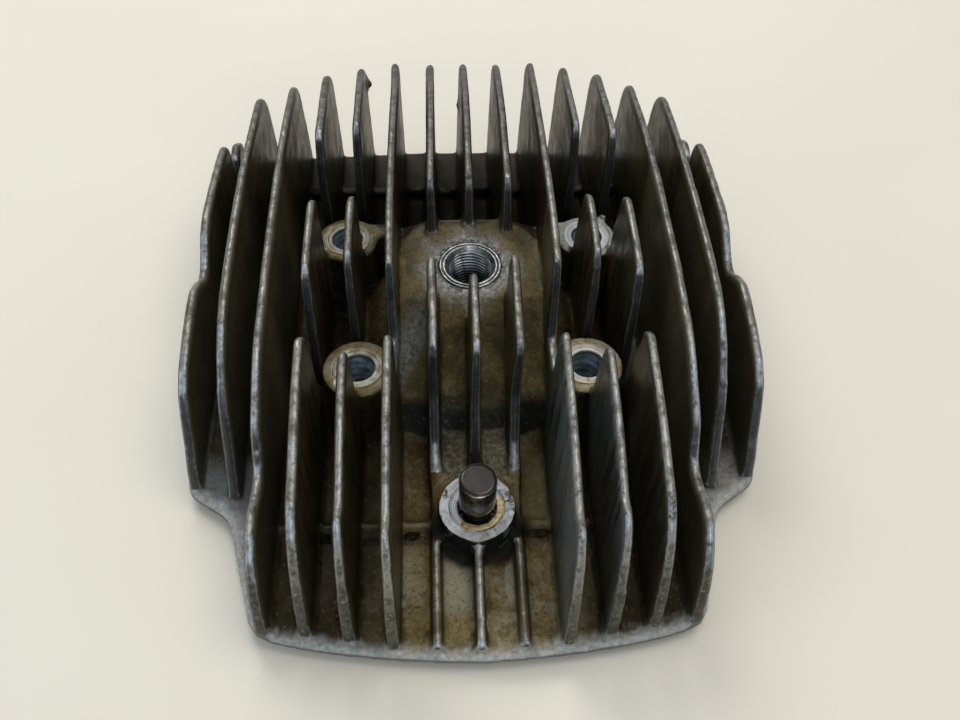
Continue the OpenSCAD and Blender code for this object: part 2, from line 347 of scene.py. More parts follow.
def chamber_profile(radius, squish, top_of_squish, bottom):
    """The chamber's outline from the axis out, down to its bottom and back."""
    edge = math.sqrt(radius**2 - (top_of_squish - CHAMBER_Z) ** 2)
    start = math.degrees(math.asin((top_of_squish - CHAMBER_Z) / radius))
    ball = arc((0, CHAMBER_Z), radius, start, 90, 24)
    ball[-1] = (0, CHAMBER_Z + radius)
    outline = [(0, bottom), (squish, bottom), (squish, top_of_squish)]
    return outline + [(edge + 0.01, top_of_squish)] + ball[1:]


def casting_blank():
    """The CAD casting with its bores filled, as it leaves the mould."""
    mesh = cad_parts["head_casting"].data.copy()
    tidy_mesh(mesh)
    rough = show("head_casting_body", mesh)
    axis = (0, CYLINDER_Y)
    fills = [
        disc("fill", FLANGE_R + 0.6, 12, PLUG_SEAT, PLUG),
        disc("fill", BOSS_R, 0.4, BOSS_TOP + 0.8, VALVE),
        lathe("fill", chamber_profile(CHAMBER_R + 0.8, 37, 2, -0.8), axis),
        disc("fill", PAD_R, -0.8, 1, axis),
        bar_along_y("fill", PASSAGE_R + 0.6, VALVE.y, CYLINDER_Y, PASSAGE_Z),
    ]
    bead = STUDS["rear_right"]
    fills.append(pebble("fill", 1.5, (bead.x + 6.4, bead.y + 8.2, STUD_SEAT + 0.2)))
    fills.append(pebble("fill", 1.8, (1.7 - 3 * FIN_PITCH, 90, DECK + 38.6)))
    fills.append(pebble("fill", 1.2, (-1.4, 87, DECK + 35.5)))
    for place in STUDS.values():
        fills.append(stud_fill(place))
        fills.append(disc("fill", 12, -0.8, 1, place))
    join([rough] + fills)
    remesh = rough.modifiers.new("remesh", "REMESH")
    remesh.mode = "VOXEL"
    remesh.voxel_size = VOXEL * MM
    smooth = rough.modifiers.new("smooth", "SMOOTH")
    smooth.factor = 0.5
    smooth.iterations = SMOOTHING
    bake_modifiers(rough)
    return rough


def weather(obj):
    """Waves, pits and nicks of a rough casting. Flat fin sides stay smooth."""
    mesh = obj.data
    points = read_vectors(mesh.vertices, "co") / MM
    normals = read_vectors(mesh.vertex_normals, "vector")
    side = ramp01(np.abs(normals[:, 0]), 0.55, 0.95)
    rough = 1 - side
    under = ramp01(-normals[:, 2], 0.3, 0.8)
    high = ramp01(points[:, 2], 14, 30)
    wave = lattice_noise(points, 3.2, 1) + 0.5 * lattice_noise(points, 1.5, 2) - 0.75
    shift = 0.16 * wave * rough
    nick = ramp01(lattice_noise(points, 2.4, 3), 0.72, 0.95)
    shift -= 0.28 * nick * rough * high
    bead = ramp01(lattice_noise(points, 1.9, 5), 0.8, 0.97)
    shift += 0.28 * bead * rough * (1 - high) * (1 - under)
    points += normals * shift[:, None]
    bend = lattice_noise(points, 42, 7) - 0.5
    bend += 0.4 * (lattice_noise(points, 17, 8) - 0.5)
    lift = ramp01(points[:, 2], DECK, 60)
    middle = np.minimum(np.hypot(points[:, 0] - PLUG.x, points[:, 1] - PLUG.y) / 20, 1)
    points[:, 0] += 0.9 * bend * lift * middle
    mesh.vertices.foreach_set("co", (points * MM).astype(np.float32).ravel())
    mesh.update()


def sculpt(obj):
    """Rounds off the crown's rear corners and narrows the low ribs beside the valve boss."""
    mesh = obj.data
    points = read_vectors(mesh.vertices, "co") / MM
    x, y, z = points[:, 0], points[:, 1], points[:, 2]
    reach = np.hypot(x - PLUG.x, y - PLUG.y)
    crown = (np.abs(x) < 23.5) & (y > 12)
    layer = ramp01(z, 24, 36) * ramp01(z, 47, 41)
    z[crown] -= (4 * ramp01(reach, 23, 30) * layer)[crown]
    rib = np.round(x / FIN_PITCH) * FIN_PITCH
    low = ramp01(y, -46, -52) * ramp01(z, DECK + 0.3, DECK + 1.2) * (np.abs(rib) < 15)
    clear = ramp01(np.hypot(x - VALVE.x, y - VALVE.y), BOSS_R + 0.3, BOSS_R + 1.3)
    x -= 0.32 * (x - rib) * low * clear * (np.abs(x - rib) < 3)
    from_boss = np.hypot(x - VALVE.x, y - VALVE.y)
    beside = (np.abs(x) < 4) & (from_boss > BOSS_R + 0.4) & (from_boss < BOSS_R + 3.5)
    z[beside] = np.minimum(z[beside], BOSS_TOP - 1.3)
    mesh.vertices.foreach_set("co", (points * MM).astype(np.float32).ravel())
    mesh.update()


def fin_tops(mesh):
    """1 for each point on a fin's top or end, where the metal is thin from side to side."""
    points = read_vectors(mesh.vertices, "co") / MM
    normals = read_vectors(mesh.vertex_normals, "vector")
    tree = BVHTree.FromPolygons(points.tolist(), [tuple(p.vertices) for p in mesh.polygons])
    tops = np.zeros(len(points), np.float32)
    thin = 3.0
    for i in np.nonzero((np.abs(normals[:, 0]) < 0.93) & (points[:, 2] > 7.4))[0]:
        inside = Vector(points[i] - normals[i] * 1.1)
        right = tree.ray_cast(inside, Vector((1, 0, 0)), thin)[0]
        left = tree.ray_cast(inside, Vector((-1, 0, 0)), thin)[0]
        tops[i] = 1 if right and left else 0
    return tops, tree


def soften_tops(obj):
    """Rounds the fins' tops and ends over, and keeps their height."""
    mesh = obj.data
    tops = fin_tops(mesh)[0]
    old = read_vectors(mesh.vertices, "co")
    sideways = old[:, 0] / MM - np.round(old[:, 0] / MM / FIN_PITCH) * FIN_PITCH
    beads = np.abs(sideways) > 1.9
    tops[beads] = 0
    tops *= ramp01(np.hypot(old[:, 0] / MM - VALVE.x, old[:, 1] / MM - VALVE.y), BOSS_R + 1, BOSS_R + 3)
    core = tops > 0.5
    ends = np.empty(2 * len(mesh.edges), np.int32)
    mesh.edges.foreach_get("vertices", ends)
    first, second = np.concatenate((ends.reshape(-1, 2), ends.reshape(-1, 2)[:, ::-1])).T
    for _ in range(3):
        grown = tops.copy()
        np.maximum.at(grown, first, tops[second] * 0.8)
        grown[beads] = 0
        tops = grown
    normals = read_vectors(mesh.vertex_normals, "vector")
    points = old.astype(np.float64)
    count = np.bincount(first, minlength=len(points))
    for _ in range(TOP_ROUNDS):
        mean = np.stack([np.bincount(first, points[second, i], len(points)) / count for i in range(3)], 1)
        points += 0.5 * tops[:, None] * (mean - points)
    shrink = ((old - points) * normals)[core].sum(1).mean()
    mesh.vertices.foreach_set("co", points.astype(np.float32).ravel())
    mesh.update()
    normals = read_vectors(mesh.vertex_normals, "vector")
    points += normals * tops[:, None] * shrink
    mesh.vertices.foreach_set("co", points.astype(np.float32).ravel())
    mesh.update()


def thin_out(obj, faces):
    decimate = obj.modifiers.new("decimate", "DECIMATE")
    triangles = sum(len(p.vertices) - 2 for p in obj.data.polygons)
    decimate.ratio = faces / triangles
    bake_modifiers(obj)


def ridged(depth, pitch, bottom, top):
    """A shape for lathe(): a coarse helical ridge on a bore's wall."""

    def shape(radius, height, angle):
        if radius < STUD_HOLE_R * 0.9 or not bottom < height < top:
            return radius, height
        turn = height / pitch - angle / (2 * math.pi)
        fade = min(1, (top - height) / 1.2)
        return radius + depth * fade * (0.5 + 0.5 * math.cos(2 * math.pi * turn)) ** 2, height

    return shape


def stud_cutter(place, ridge):
    wall = [(STUD_HOLE_R, -2 + i * 0.45) for i in range(70)]
    recess = [(WASHER_R + 0.04, WASHER_LOW), (WASHER_R + 0.04, STUD_SEAT + 0.02)]
    mouth = [(WASHER_R + 0.4, STUD_SEAT + 0.4), (WASHER_R + 0.4, STUD_SEAT + 3)]
    profile = [(0, -2)] + wall + [(STUD_HOLE_R, WASHER_LOW)] + recess + mouth + [(0, STUD_SEAT + 3)]
    return lathe("cutter", profile, place, 96, ridged(ridge, 2.9, 1, WASHER_LOW - 0.2))


def plug_cutter():
    neck = THREAD_R + 0.6
    profile = [
        (0, 12),
        (neck, 12),
        (neck, PLUG_BOTTOM),
        (INSERT_BODY_R, PLUG_BOTTOM),
        (INSERT_BODY_R, PLUG_TOP - 2.2),
        (FLANGE_R + 0.12, PLUG_TOP - 2.2),
        (FLANGE_R + 0.12, PLUG_SEAT - 0.35),
        (FLANGE_R + 0.5, PLUG_SEAT + 0.05),
        (FLANGE_R + 0.5, PLUG_SEAT + 2),
        (0, PLUG_SEAT + 2),
    ]
    return lathe("cutter", profile, PLUG, 128)


def valve_cutter():
    profile = [
        (0, -2),
        (8.7, -2),
        (8.7, 2.6),
        (6, 2.6),
        (6, 4),
        (POCKET_R, 4),
        (POCKET_R, BUSH_LOW),
        (BUSH_R + 0.05, BUSH_LOW),
        (BUSH_R + 0.12, BOSS_TOP),
        (BOSS_R + 1.5, BOSS_TOP),
        (BOSS_R + 1.5, BOSS_TOP + 2),
        (0, BOSS_TOP + 2),
    ]
    return lathe("cutter", profile, VALVE, 128)


def staking_cutters():
    """Punch marks in the casting around the plug insert."""
    marks = []
    for i in range(17):
        angle = 2 * math.pi * (i + 0.35 * math.sin(i * 2.3)) / 17
        reach = FLANGE_R + 0.75 + 0.3 * math.sin(i * 1.7)
        x = PLUG.x + reach * math.cos(angle)
        y = PLUG.y + reach * math.sin(angle)
        size = 0.5 + 0.22 * math.sin(i * 3.1)
        marks.append(pebble("cutter", size, (x, y, PLUG_SEAT + 0.15), 0.8))
    return marks


CHIPS = (
    (153, 10.2, 1.3),
    (160, 9.4, 0.7),
    (14, 10.5, 1.6),
    (24, 9.7, 1.0),
    (8, 9.4, 0.8),
    (-6, 10.6, 0.8),
    (36, 8.2, 0.5),
    (22, 8.1, 0.6),
    (6, 8.1, 0.55),
    (-10, 8.2, 0.6),
    (-24, 8.1, 0.45),
    (-58, 8.0, 0.5),
    (196, 10.6, 0.7),
)


def boss_chips():
    """Broken spots on the rim of the valve boss."""
    chips = []
    for degrees, reach, size in CHIPS:
        angle = math.radians(degrees)
        x = VALVE.x + reach * math.cos(angle)
        y = VALVE.y + reach * math.sin(angle)
        chips.append(pebble("cutter", size, (x, y, BOSS_TOP + 0.25), 0.6))
    return chips


def sand_pits():
    """Small hollows in the plate, just in front of the stiffening bar."""
    pits = []
    for x, y, stretch in ((-18.5, -63.7, 1.7), (-41.5, -64.0, 2.0), (17.0, -63.7, 2.6)):
        pit = pebble("cutter", 1.6, (0, 0, DECK + 0.6))
        points = read_vectors(pit.data.vertices, "co") * (stretch, 1, 1) + np.array((x, y, 0)) * MM
        pit.data.vertices.foreach_set("co", points.astype(np.float32).ravel())
        pits.append(pit)
    return pits


def machine(obj):
    """The cuts that turn the blank into the finished casting."""
    axis = (0, CYLINDER_Y)
    cuts = [
        block("cutter", (-LONG, -LONG, -5), (LONG, LONG, 0)),
        plug_cutter(),
        valve_cutter(),
        lathe("cutter", chamber_profile(CHAMBER_R, 36, 1, -2), axis, 128),
        bar_along_y("cutter", PASSAGE_R, VALVE.y + 2, CYLINDER_Y, PASSAGE_Z),
    ]
    for name, place in STUDS.items():
        cuts.append(stud_cutter(place, 0.32 if "front" in name else 0.05))
    cut(obj, cuts)
    cut(obj, [join(staking_cutters()), join(boss_chips())])
    cut(obj, [join(sand_pits())])


def keep_in_box(obj):
    mesh = obj.data
    points = read_vectors(mesh.vertices, "co")
    points = np.clip(points, np.array(cad_low), np.array(cad_high))
    mesh.vertices.foreach_set("co", points.astype(np.float32).ravel())
    mesh.update()


def mark_wear(obj):
    """Two masks on the points: edge is 1 on the fins' tops, rim is 1 along the plate's edge."""
    mesh = obj.data
    points = read_vectors(mesh.vertices, "co") / MM
    edge, tree = fin_tops(mesh)
    rim = np.zeros(len(points), np.float32)
    around = [Vector((math.cos(a), math.sin(a), 0)) for a in np.arange(8) * math.pi / 4]
    up = Vector((0, 0, 1))
    for i in np.nonzero(points[:, 2] < DECK + 2.5)[0]:
        below = Vector((points[i][0], points[i][1], -5))
        for reach, amount in ((5.5, 0.35), (3.2, 0.7), (1.4, 1.0)):
            if any(tree.ray_cast(below + way * reach, up, LONG)[0] is None for way in around):
                rim[i] = amount
    mesh.attributes.new("edge", "FLOAT", "POINT").data.foreach_set("value", edge)
    mesh.attributes.new("rim", "FLOAT", "POINT").data.foreach_set("value", rim)


def name_surfaces(obj, finishes):
    """Gives each face its finish by where it lies."""
    obj.data.materials.clear()
    for finish in finishes:
        obj.data.materials.append(finish)
    polygons = obj.data.polygons
    centres = read_vectors(polygons, "center") / MM
    normals = read_vectors(polygons, "normal")
    index = np.zeros(len(polygons), np.int32)
    flat = normals[:, 2] > 0.97
    for place in STUDS.values():
        reach = np.hypot(centres[:, 0] - place.x, centres[:, 1] - place.y)
        wall = (reach < STUD_HOLE_R + 0.6) & (centres[:, 2] < WASHER_LOW + 0.1)
        index[wall] = 2
    reach = np.hypot(centres[:, 0] - VALVE.x, centres[:, 1] - VALVE.y)
    index[flat & (reach < BOSS_R + 0.2) & (centres[:, 2] > BOSS_TOP - 0.08)] = 1
    index[(reach < BUSH_R + 0.2) & (centres[:, 2] < BOSS_TOP - 0.02)] = 2
    reach = np.hypot(centres[:, 0] - PLUG.x, centres[:, 1] - PLUG.y)
    index[(reach < FLANGE_R + 0.2) & (centres[:, 2] < PLUG_SEAT) & (centres[:, 2] > 12)] = 2
    index[(centres[:, 2] < 0.05) & (normals[:, 2] < -0.9)] = 3
    reach = np.hypot(centres[:, 0], centres[:, 1] - CYLINDER_Y)
    height = np.hypot(reach, centres[:, 2] - CHAMBER_Z)
    index[(np.abs(height - CHAMBER_R) < 0.15) & (centres[:, 2] < CHAMBER_TOP + 0.1)] = 4
    index[(reach < 36.1) & (centres[:, 2] < 1.05) & (centres[:, 2] > 0.05)] = 4
    polygons.foreach_set("material_index", index)


def casting(finishes):
    body = casting_blank()
    sculpt(body)
    soften_tops(body)
    weather(body)
    thin_out(body, CASTING_FACES)
    machine(body)
    keep_in_box(body)
    tidy_mesh(body.data)
    mark_wear(body)
    name_surfaces(body, finishes)
    shade(body, 38)
    return body


# ---------------------------------------------------------------- small pieces


def thread_shape(radius, height, angle):
    """A shape for lathe(): the plug thread's groove on the insert's inner wall."""
    if radius > THREAD_R + 0.05:
        return radius, height
    turn = height / THREAD_PITCH - angle / (2 * math.pi)
    groove = 1 - abs(2 * (turn - math.floor(turn)) - 1)
    return radius + 0.78 * min(1, groove * 1.25), height


def plug_insert():
    """Steel insert with a flange, a turned seat and a real 14 mm thread."""
    top = PLUG_TOP
    mouth = 7.55
    wall_low = PLUG_BOTTOM + 0.5
    wall_high = top - 1.35
    count = int((wall_high - wall_low) / 0.125)
    wall = [(THREAD_R, wall_high - (wall_high - wall_low) * i / count) for i in range(count + 1)]
    outside = [
        (THREAD_R + 0.8, PLUG_BOTTOM),
        (INSERT_BODY_R - 0.05, PLUG_BOTTOM),
        (INSERT_BODY_R - 0.05, top - 2.15),
        (FLANGE_R, top - 2.15),
        (FLANGE_R, top - 0.22),
        (FLANGE_R - 0.1, top - 0.06),
        (FLANGE_R - 0.3, top),
        (8.62, top),
        (8.55, top - 0.08),
        (8.5, top - 0.42),
        (8.28, top - 0.42),
        (8.23, top - 0.08),
        (8.16, top),
        (mouth + 0.16, top),
        (mouth, top - 0.08),
        (mouth - 0.16, top - 0.28),
        (6.75, top - 0.95),
        (6.5, top - 1.2),
    ]
    return lathe("plug_insert", outside + wall, PLUG, 128, thread_shape)


def stud_washer(name, place, seed):
    """A worn washer, a little dished and dented, with a step around its hole."""
    hole = STUD_HOLE_R + 0.1
    profile = [
        (hole, WASHER_LOW + 0.02),
        (WASHER_R - 0.02, WASHER_LOW + 0.02),
        (WASHER_R, WASHER_TOP - 0.02),
        (6.1, WASHER_TOP),
        (5.95, WASHER_TOP - 0.22),
        (hole + 0.25, WASHER_TOP - 0.26),
        (hole, WASHER_TOP - 0.55),
    ]

    def dented(radius, height, angle):
        if height < WASHER_TOP - 0.6:
            return radius, height
        dent = 0.05 * math.sin(3 * angle + seed) + 0.04 * math.sin(7 * angle + 2 * seed)
        return radius + dent * 0.6, height - abs(dent)

    return lathe("washer_" + name, rounded(profile, 0.12), place, 96, dented)


def guide_bush():
    """Bronze bush with a crumbled lip and four gas vents in its floor."""
    bore = 3.05
    mouth = 5.4
    profile = [
        (bore, BUSH_LOW + 0.02),
        (BUSH_R - 0.05, BUSH_LOW + 0.02),
        (BUSH_R - 0.05, BOSS_TOP - 0.5),
        (BUSH_R - 0.45, BOSS_TOP - 0.5),
        (BUSH_R - 0.6, BOSS_TOP - 0.04),
        (mouth + 0.3, BOSS_TOP - 0.12),
        (mouth, BOSS_TOP - 0.5),
        (mouth, BUSH_FLOOR),
        (bore, BUSH_FLOOR),
    ]

    def crumbled(radius, height, angle):
        if height < BOSS_TOP - 0.7:
            return radius, height
        wear = 0.1 * math.sin(5 * angle + 1) + 0.07 * math.sin(11 * angle) + 0.05 * math.sin(23 * angle)
        front = max(0, math.cos(angle + math.radians(55)))
        crack = 0.45 * (1 - front) if radius > BUSH_R - 0.5 and height < BOSS_TOP - 0.3 else 0
        return radius + wear * 0.4, height + crack - 0.05 - (0.1 + wear * 0.8) * front

    bush = lathe("guide_bush", rounded(profile, 0.1), VALVE, 128, crumbled)
    vents = []
    for i in range(4):
        angle = math.pi / 2 * i
        place = (VALVE.x + 4.25 * math.cos(angle), VALVE.y + 4.25 * math.sin(angle))
        vents.append(disc("cutter", 0.8, BUSH_LOW - 1, BUSH_FLOOR + 1, place, 24))
    cut(bush, [join(vents)])
    return bush


def seat_ring():
    low = low_mm("valve_seat_ring").z
    high = high_mm("valve_seat_ring").z
    profile = [(3.7, low + 0.5), (4.4, low), (POCKET_R - 0.02, low), (POCKET_R - 0.02, high), (3.7, high)]
    return lathe("seat_ring", rounded(profile, 0.1), VALVE, 64)


def valve_stem():
    low = low_mm("valve_stem").z
    high = high_mm("valve_stem").z
    profile = [
        (0, low + 0.25),
        (1.6, low + 0.25),
        (1.9, low),
        (4.35, low),
        (4.6, low + 0.3),
        (4.6, low + 0.85),
        (3.75, low + 1.58),
        (3.2, low + 1.6),
        (3, low + 2),
        (3, high),
        (0, high),
    ]
    return lathe("valve_stem_body", rounded(profile, 0.12), VALVE, 96)


def push_button():
    """Turned button with a domed cap over a groove and a rounded lower end."""
    groove_r = 4.4
    cap_r = BUTTON_R - 0.06
    low = BUTTON_LOW
    top = BUTTON_TOP
    foot = [(BUTTON_R - 1.9 + 1.9 * math.sin(math.radians(a)), low + 2.4 - 2.4 * math.cos(math.radians(a)))
            for a in range(0, 91, 9)]
    dome = [(4.3, top - 0.42), (3.6, top - 0.22), (2.6, top - 0.1), (1.3, top - 0.02), (0, top)]
    profile = [(0, low + 0.7), (3.05, low + 0.7), (3.05, low)] + foot
    profile += [(BUTTON_R, RING_LOW - 0.55), (BUTTON_R - 0.12, RING_LOW - 0.12), (groove_r, RING_LOW - 0.02)]
    profile += [(groove_r, RING_HIGH + 0.02), (cap_r - 0.15, RING_HIGH + 0.1), (cap_r, RING_HIGH + 0.3)]
    profile += [(cap_r, top - 0.95), (cap_r - 0.1, top - 0.68), (cap_r - 0.32, top - 0.5)] + dome
    return lathe("push_button", profile, VALVE, 128)


def snap_ring():
    """Wire ring with a gap at the back."""
    half_gap = math.radians(9)
    ring_r = high_mm("button_snap_ring").x - VALVE.x
    wire_r = 0.37
    steps = 72
    rings = []
    for i in range(steps + 1):
        angle = math.pi / 2 + half_gap + (2 * math.pi - 2 * half_gap) * i / steps
        rings.append((angle, ring_r - wire_r - 0.02, (RING_LOW + RING_HIGH) / 2))
    return wire("snap_ring", rings, wire_r, 12)


def wire(name, rings, wire_r, sides):
    """A round wire about the valve's axis through (angle, radius, height) stations."""
    points = []
    for angle, radius, height in rings:
        for j in range(sides):
            turn = 2 * math.pi * j / sides
            r = radius + wire_r * math.cos(turn)
            x = VALVE.x + r * math.cos(angle)
            y = VALVE.y + r * math.sin(angle)
            points.append((x, y, height + wire_r * math.sin(turn)))
    faces = [tuple(range(sides))]
    for i in range(len(rings) - 1):
        for j in range(sides):
            a = i * sides + j
            b = i * sides + (j + 1) % sides
            faces.append((a, a + sides, b + sides, b))
    last = (len(rings) - 1) * sides
    faces.append(tuple(range(last + sides - 1, last - 1, -1)))
    obj = make(name, points, faces)
    tidy_mesh(obj.data)
    return obj


def return_spring():
    """Helical spring with closed end coils."""
    wire_r = 0.35
    low = BUSH_FLOOR + wire_r + 0.05
    high = BUTTON_LOW - wire_r - 0.05
    coil_r = 3.75
    turns = 3.5
    per_turn = 40
    closed = 0.8
    rings = []
    for i in range(int(turns * per_turn) + 1):
        turn = i / per_turn
        open_part = min(max((turn - closed) / (turns - 2 * closed), 0), 1)
        dead = min(turn, closed) + max(turn - turns + closed, 0)
        rise = (high - low - 2 * closed * wire_r * 2.05) * open_part + dead * wire_r * 2.05
        rings.append((2 * math.pi * turn, coil_r, low + rise))
    return wire("return_spring", rings, wire_r, 14)


def pocket_plug():
    """Screw plug with a hex socket in its face."""
    low = low_mm("valve_pocket_plug").z
    top = high_mm("valve_pocket_plug").z
    flange = high_mm("valve_pocket_plug").x - VALVE.x
    profile = [(0, low), (flange, low), (flange, 1.8), (5.95, 1.8), (5.95, top), (0, top)]
    plug = lathe("pocket_plug", rounded(profile, 0.3), VALVE, 96)
    cut(plug, [disc("cutter", 3.2, low - 1, 2.4, VALVE, 6)])
    return plug


def copper_washer():
    low = low_mm("pocket_plug_washer").z
    top = high_mm("pocket_plug_washer").z
    outer = high_mm("pocket_plug_washer").x - VALVE.x
    profile = [(6.02, low), (outer, low), (outer, top), (6.02, top)]
    return lathe("copper_washer", rounded(profile, 0.3), VALVE, 96)


# ---------------------------------------------------------------- materials


class Finish:
    """A principled material with short names for the nodes that feed it."""

    def __init__(self, name):
        self.material = bpy.data.materials.new(name)
        self.material.use_nodes = True
        self.tree = self.material.node_tree
        self.shader = self.tree.nodes["Principled BSDF"]
        coordinates = self.node("ShaderNodeTexCoord")
        self.place = coordinates.outputs["Object"]
        self.normal = coordinates.outputs["Normal"]

    def node(self, kind):
        return self.tree.nodes.new(kind)

    def feed(self, socket, value):
        if isinstance(value, bpy.types.NodeSocket):
            self.tree.links.new(value, socket)
        elif hasattr(socket.default_value, "__len__") and len(socket.default_value) == 4:
            socket.default_value = (*value, 1) if len(value) == 3 else value
        else:
            socket.default_value = value

    def math(self, operation, *values):
        node = self.node("ShaderNodeMath")
        node.operation = operation
        for socket, value in zip(node.inputs, values):
            self.feed(socket, value)
        return node.outputs[0]

    def times(self, first, second):
        return self.math("MULTIPLY", first, second)

    def plus(self, first, second):
        return self.math("ADD", first, second)

    def minus(self, first, second):
        return self.math("SUBTRACT", first, second)

    def step(self, value, start, end):
        """0 before start, 1 after end, and smooth between them."""
        node = self.node("ShaderNodeMapRange")
        node.interpolation_type = "SMOOTHSTEP"
        self.feed(node.inputs["Value"], value)
        self.feed(node.inputs["From Min"], start)
        self.feed(node.inputs["From Max"], end)
        return node.outputs["Result"]

    def band(self, value, start, end, soft):
        """1 between start and end, with soft sides."""
        rising = self.step(value, start - soft, start + soft)
        falling = self.step(value, end - soft, end + soft)
        return self.minus(rising, falling)

    def axis(self, letter, vector=None):
        node = self.node("ShaderNodeSeparateXYZ")
        self.feed(node.inputs[0], vector or self.place)
        return node.outputs[letter]

    def mm(self, letter):
        return self.math("DIVIDE", self.axis(letter), MM)

    def from_axis(self, centre):
        """Distance in millimetres from the vertical line through centre."""
        x = self.minus(self.mm("X"), centre[0])
        y = self.minus(self.mm("Y"), centre[1])
        return self.math("SQRT", self.plus(self.times(x, x), self.times(y, y)))

    def stretched(self, stretch):
        node = self.node("ShaderNodeVectorMath")
        node.operation = "MULTIPLY"
        self.feed(node.inputs[0], self.place)
        node.inputs[1].default_value = stretch
        return node.outputs[0]

    def noise(self, size, detail=4, rough=0.55, stretch=None, offset=0.0):
        """Noise whose features are about size millimetres wide."""
        node = self.node("ShaderNodeTexNoise")
        node.noise_dimensions = "4D"
        self.feed(node.inputs["Vector"], self.stretched(stretch) if stretch else self.place)
        node.inputs["W"].default_value = offset
        node.inputs["Scale"].default_value = 1 / (size * MM)
        node.inputs["Detail"].default_value = detail
        node.inputs["Roughness"].default_value = rough
        return node.outputs["Factor"] if "Factor" in node.outputs else node.outputs["Fac"]

    def mix(self, factor, first, second):
        node = self.node("ShaderNodeMix")
        node.data_type = "RGBA"
        self.feed(node.inputs["Factor"], factor)
        self.feed(node.inputs[6], first)
        self.feed(node.inputs[7], second)
        return node.outputs[2]

    def blend(self, factor, first, second):
        node = self.node("ShaderNodeMix")
        self.feed(node.inputs["Factor"], factor)
        self.feed(node.inputs[2], first)
        self.feed(node.inputs[3], second)
        return node.outputs[0]

    def attribute(self, name):
        node = self.node("ShaderNodeAttribute")
        node.attribute_name = name
        return node.outputs["Fac"]

    def bump(self, height, depth, strength=1.0, below=None):
        """Bumps from a height of 0 to 1 that stands for depth millimetres."""
        node = self.node("ShaderNodeBump")
        self.feed(node.inputs["Height"], height)
        node.inputs["Distance"].default_value = depth * MM
        self.feed(node.inputs["Strength"], strength)
        if below:
            self.feed(node.inputs["Normal"], below)
        return node.outputs["Normal"]

    def set(self, **sockets):
        for name, value in sockets.items():
            self.feed(self.shader.inputs[name.replace("_", " ")], value)
        return self.material


def all_of(finish, *values):
    result = values[0]
    for value in values[1:]:
        result = finish.times(result, value)
    return result


def any_of(finish, *values):
    result = values[0]
    for value in values[1:]:
        result = finish.math("MAXIMUM", result, value)
    return result


class CastingFinish(Finish):
    """The casting's finish, with the places, directions and noises that its layers share."""

    def __init__(self):
        super().__init__("cast_aluminium_oily_painted_light")
        self.x = self.mm("X")
        self.y = self.mm("Y")
        self.z = self.mm("Z")
        self.wide_x = self.math("ABSOLUTE", self.x)
        self.across = self.math("ABSOLUTE", self.axis("X", self.normal))
        self.up = self.axis("Z", self.normal)
        self.facing = self.times(self.axis("Y", self.normal), -1.0)
        self.side = self.step(self.across, 0.6, 0.9)
        self.coarse = self.noise(14, 5, 0.6, offset=1)
        self.patch = self.noise(6, 5, 0.65, offset=2)
        self.grain = self.noise(1.5, 4, 0.7, offset=3)
        self.speck = self.noise(0.8, 2, 0.5, offset=4)
        self.streak = self.noise(3.4, 6, 0.66, stretch=(1, 1, 0.10), offset=5)


def fin_side_dirt_and_painted_light(f):
    """Fin sides: almost black olive, browner where the dirt is thin, with painted reflections high on the
    rear faces and on the right fins' left faces, and painted shade low down.
    """
    side_colour = f.mix(f.step(f.streak, 0.40, 0.66), (0.022, 0.0185, 0.0080), (0.062, 0.050, 0.021))
    side_colour = f.mix(f.times(f.step(f.coarse, 0.5, 0.7), 0.7), side_colour, (0.076, 0.063, 0.031))
    blotch = f.plus(f.noise(9, 4, 0.6, stretch=(1, 1, 0.5), offset=13), f.times(f.patch, 0.5))
    # Tan high on the rear faces: partly thin dirt, partly a painted reflection of the pale floor.
    thin_dirt_and_reflection = all_of(f, f.step(f.y, 40, 80), f.step(f.z, 20, 34), f.step(blotch, 0.62, 0.82))
    side_colour = f.mix(f.times(thin_dirt_and_reflection, 0.8), side_colour, (0.150, 0.106, 0.036))
    # Painted reflection: a greyer sheen in the band just below the crown on the rear faces.
    crown_z = f.minus(54.0, f.times(f.math("MAXIMUM", f.minus(f.wide_x, 46.0), 0.0), 0.4))
    below = f.plus(f.minus(f.z, crown_z), f.times(f.patch, 8))
    painted_grey_sheen = all_of(f, f.step(below, -10, -3), f.step(f.y, 55, 70))
    side_colour = f.mix(f.times(painted_grey_sheen, 0.85), side_colour, f.mix(f.grain, (0.034, 0.032, 0.027), (0.072, 0.066, 0.055)))
    spatter = all_of(f, f.step(f.grain, 0.44, 0.36), f.step(f.y, 50, 65))
    side_colour = f.mix(f.times(spatter, 0.65), side_colour, (0.014, 0.012, 0.006))
    outer = all_of(f, f.step(f.wide_x, 40, 56), f.step(f.y, 45, 25))
    side_colour = f.mix(f.times(outer, 0.55), side_colour, (0.098, 0.086, 0.050))
    # Painted reflection: blue-grey on the left faces of the fins right of the valve, weaker on the outer
    # ones.
    painted_bluish_reflection = all_of(f, f.step(f.x, 8, 20), f.step(f.y, -12, -42), f.step(f.axis("X", f.normal), -0.5, -0.85))
    painted_bluish_reflection = f.times(painted_bluish_reflection, f.blend(f.step(f.x, 37, 41), 1.0, 0.12))
    side_colour = f.mix(f.times(painted_bluish_reflection, f.step(f.streak, 0.34, 0.56)), side_colour, (0.090, 0.102, 0.097))
    # Darker low down on the fin sides: oil, plus painted shade deep between the fins.
    side_colour = f.mix(f.times(f.step(f.z, 24, 8), 0.5), side_colour, (0.016, 0.0135, 0.006))
    return side_colour


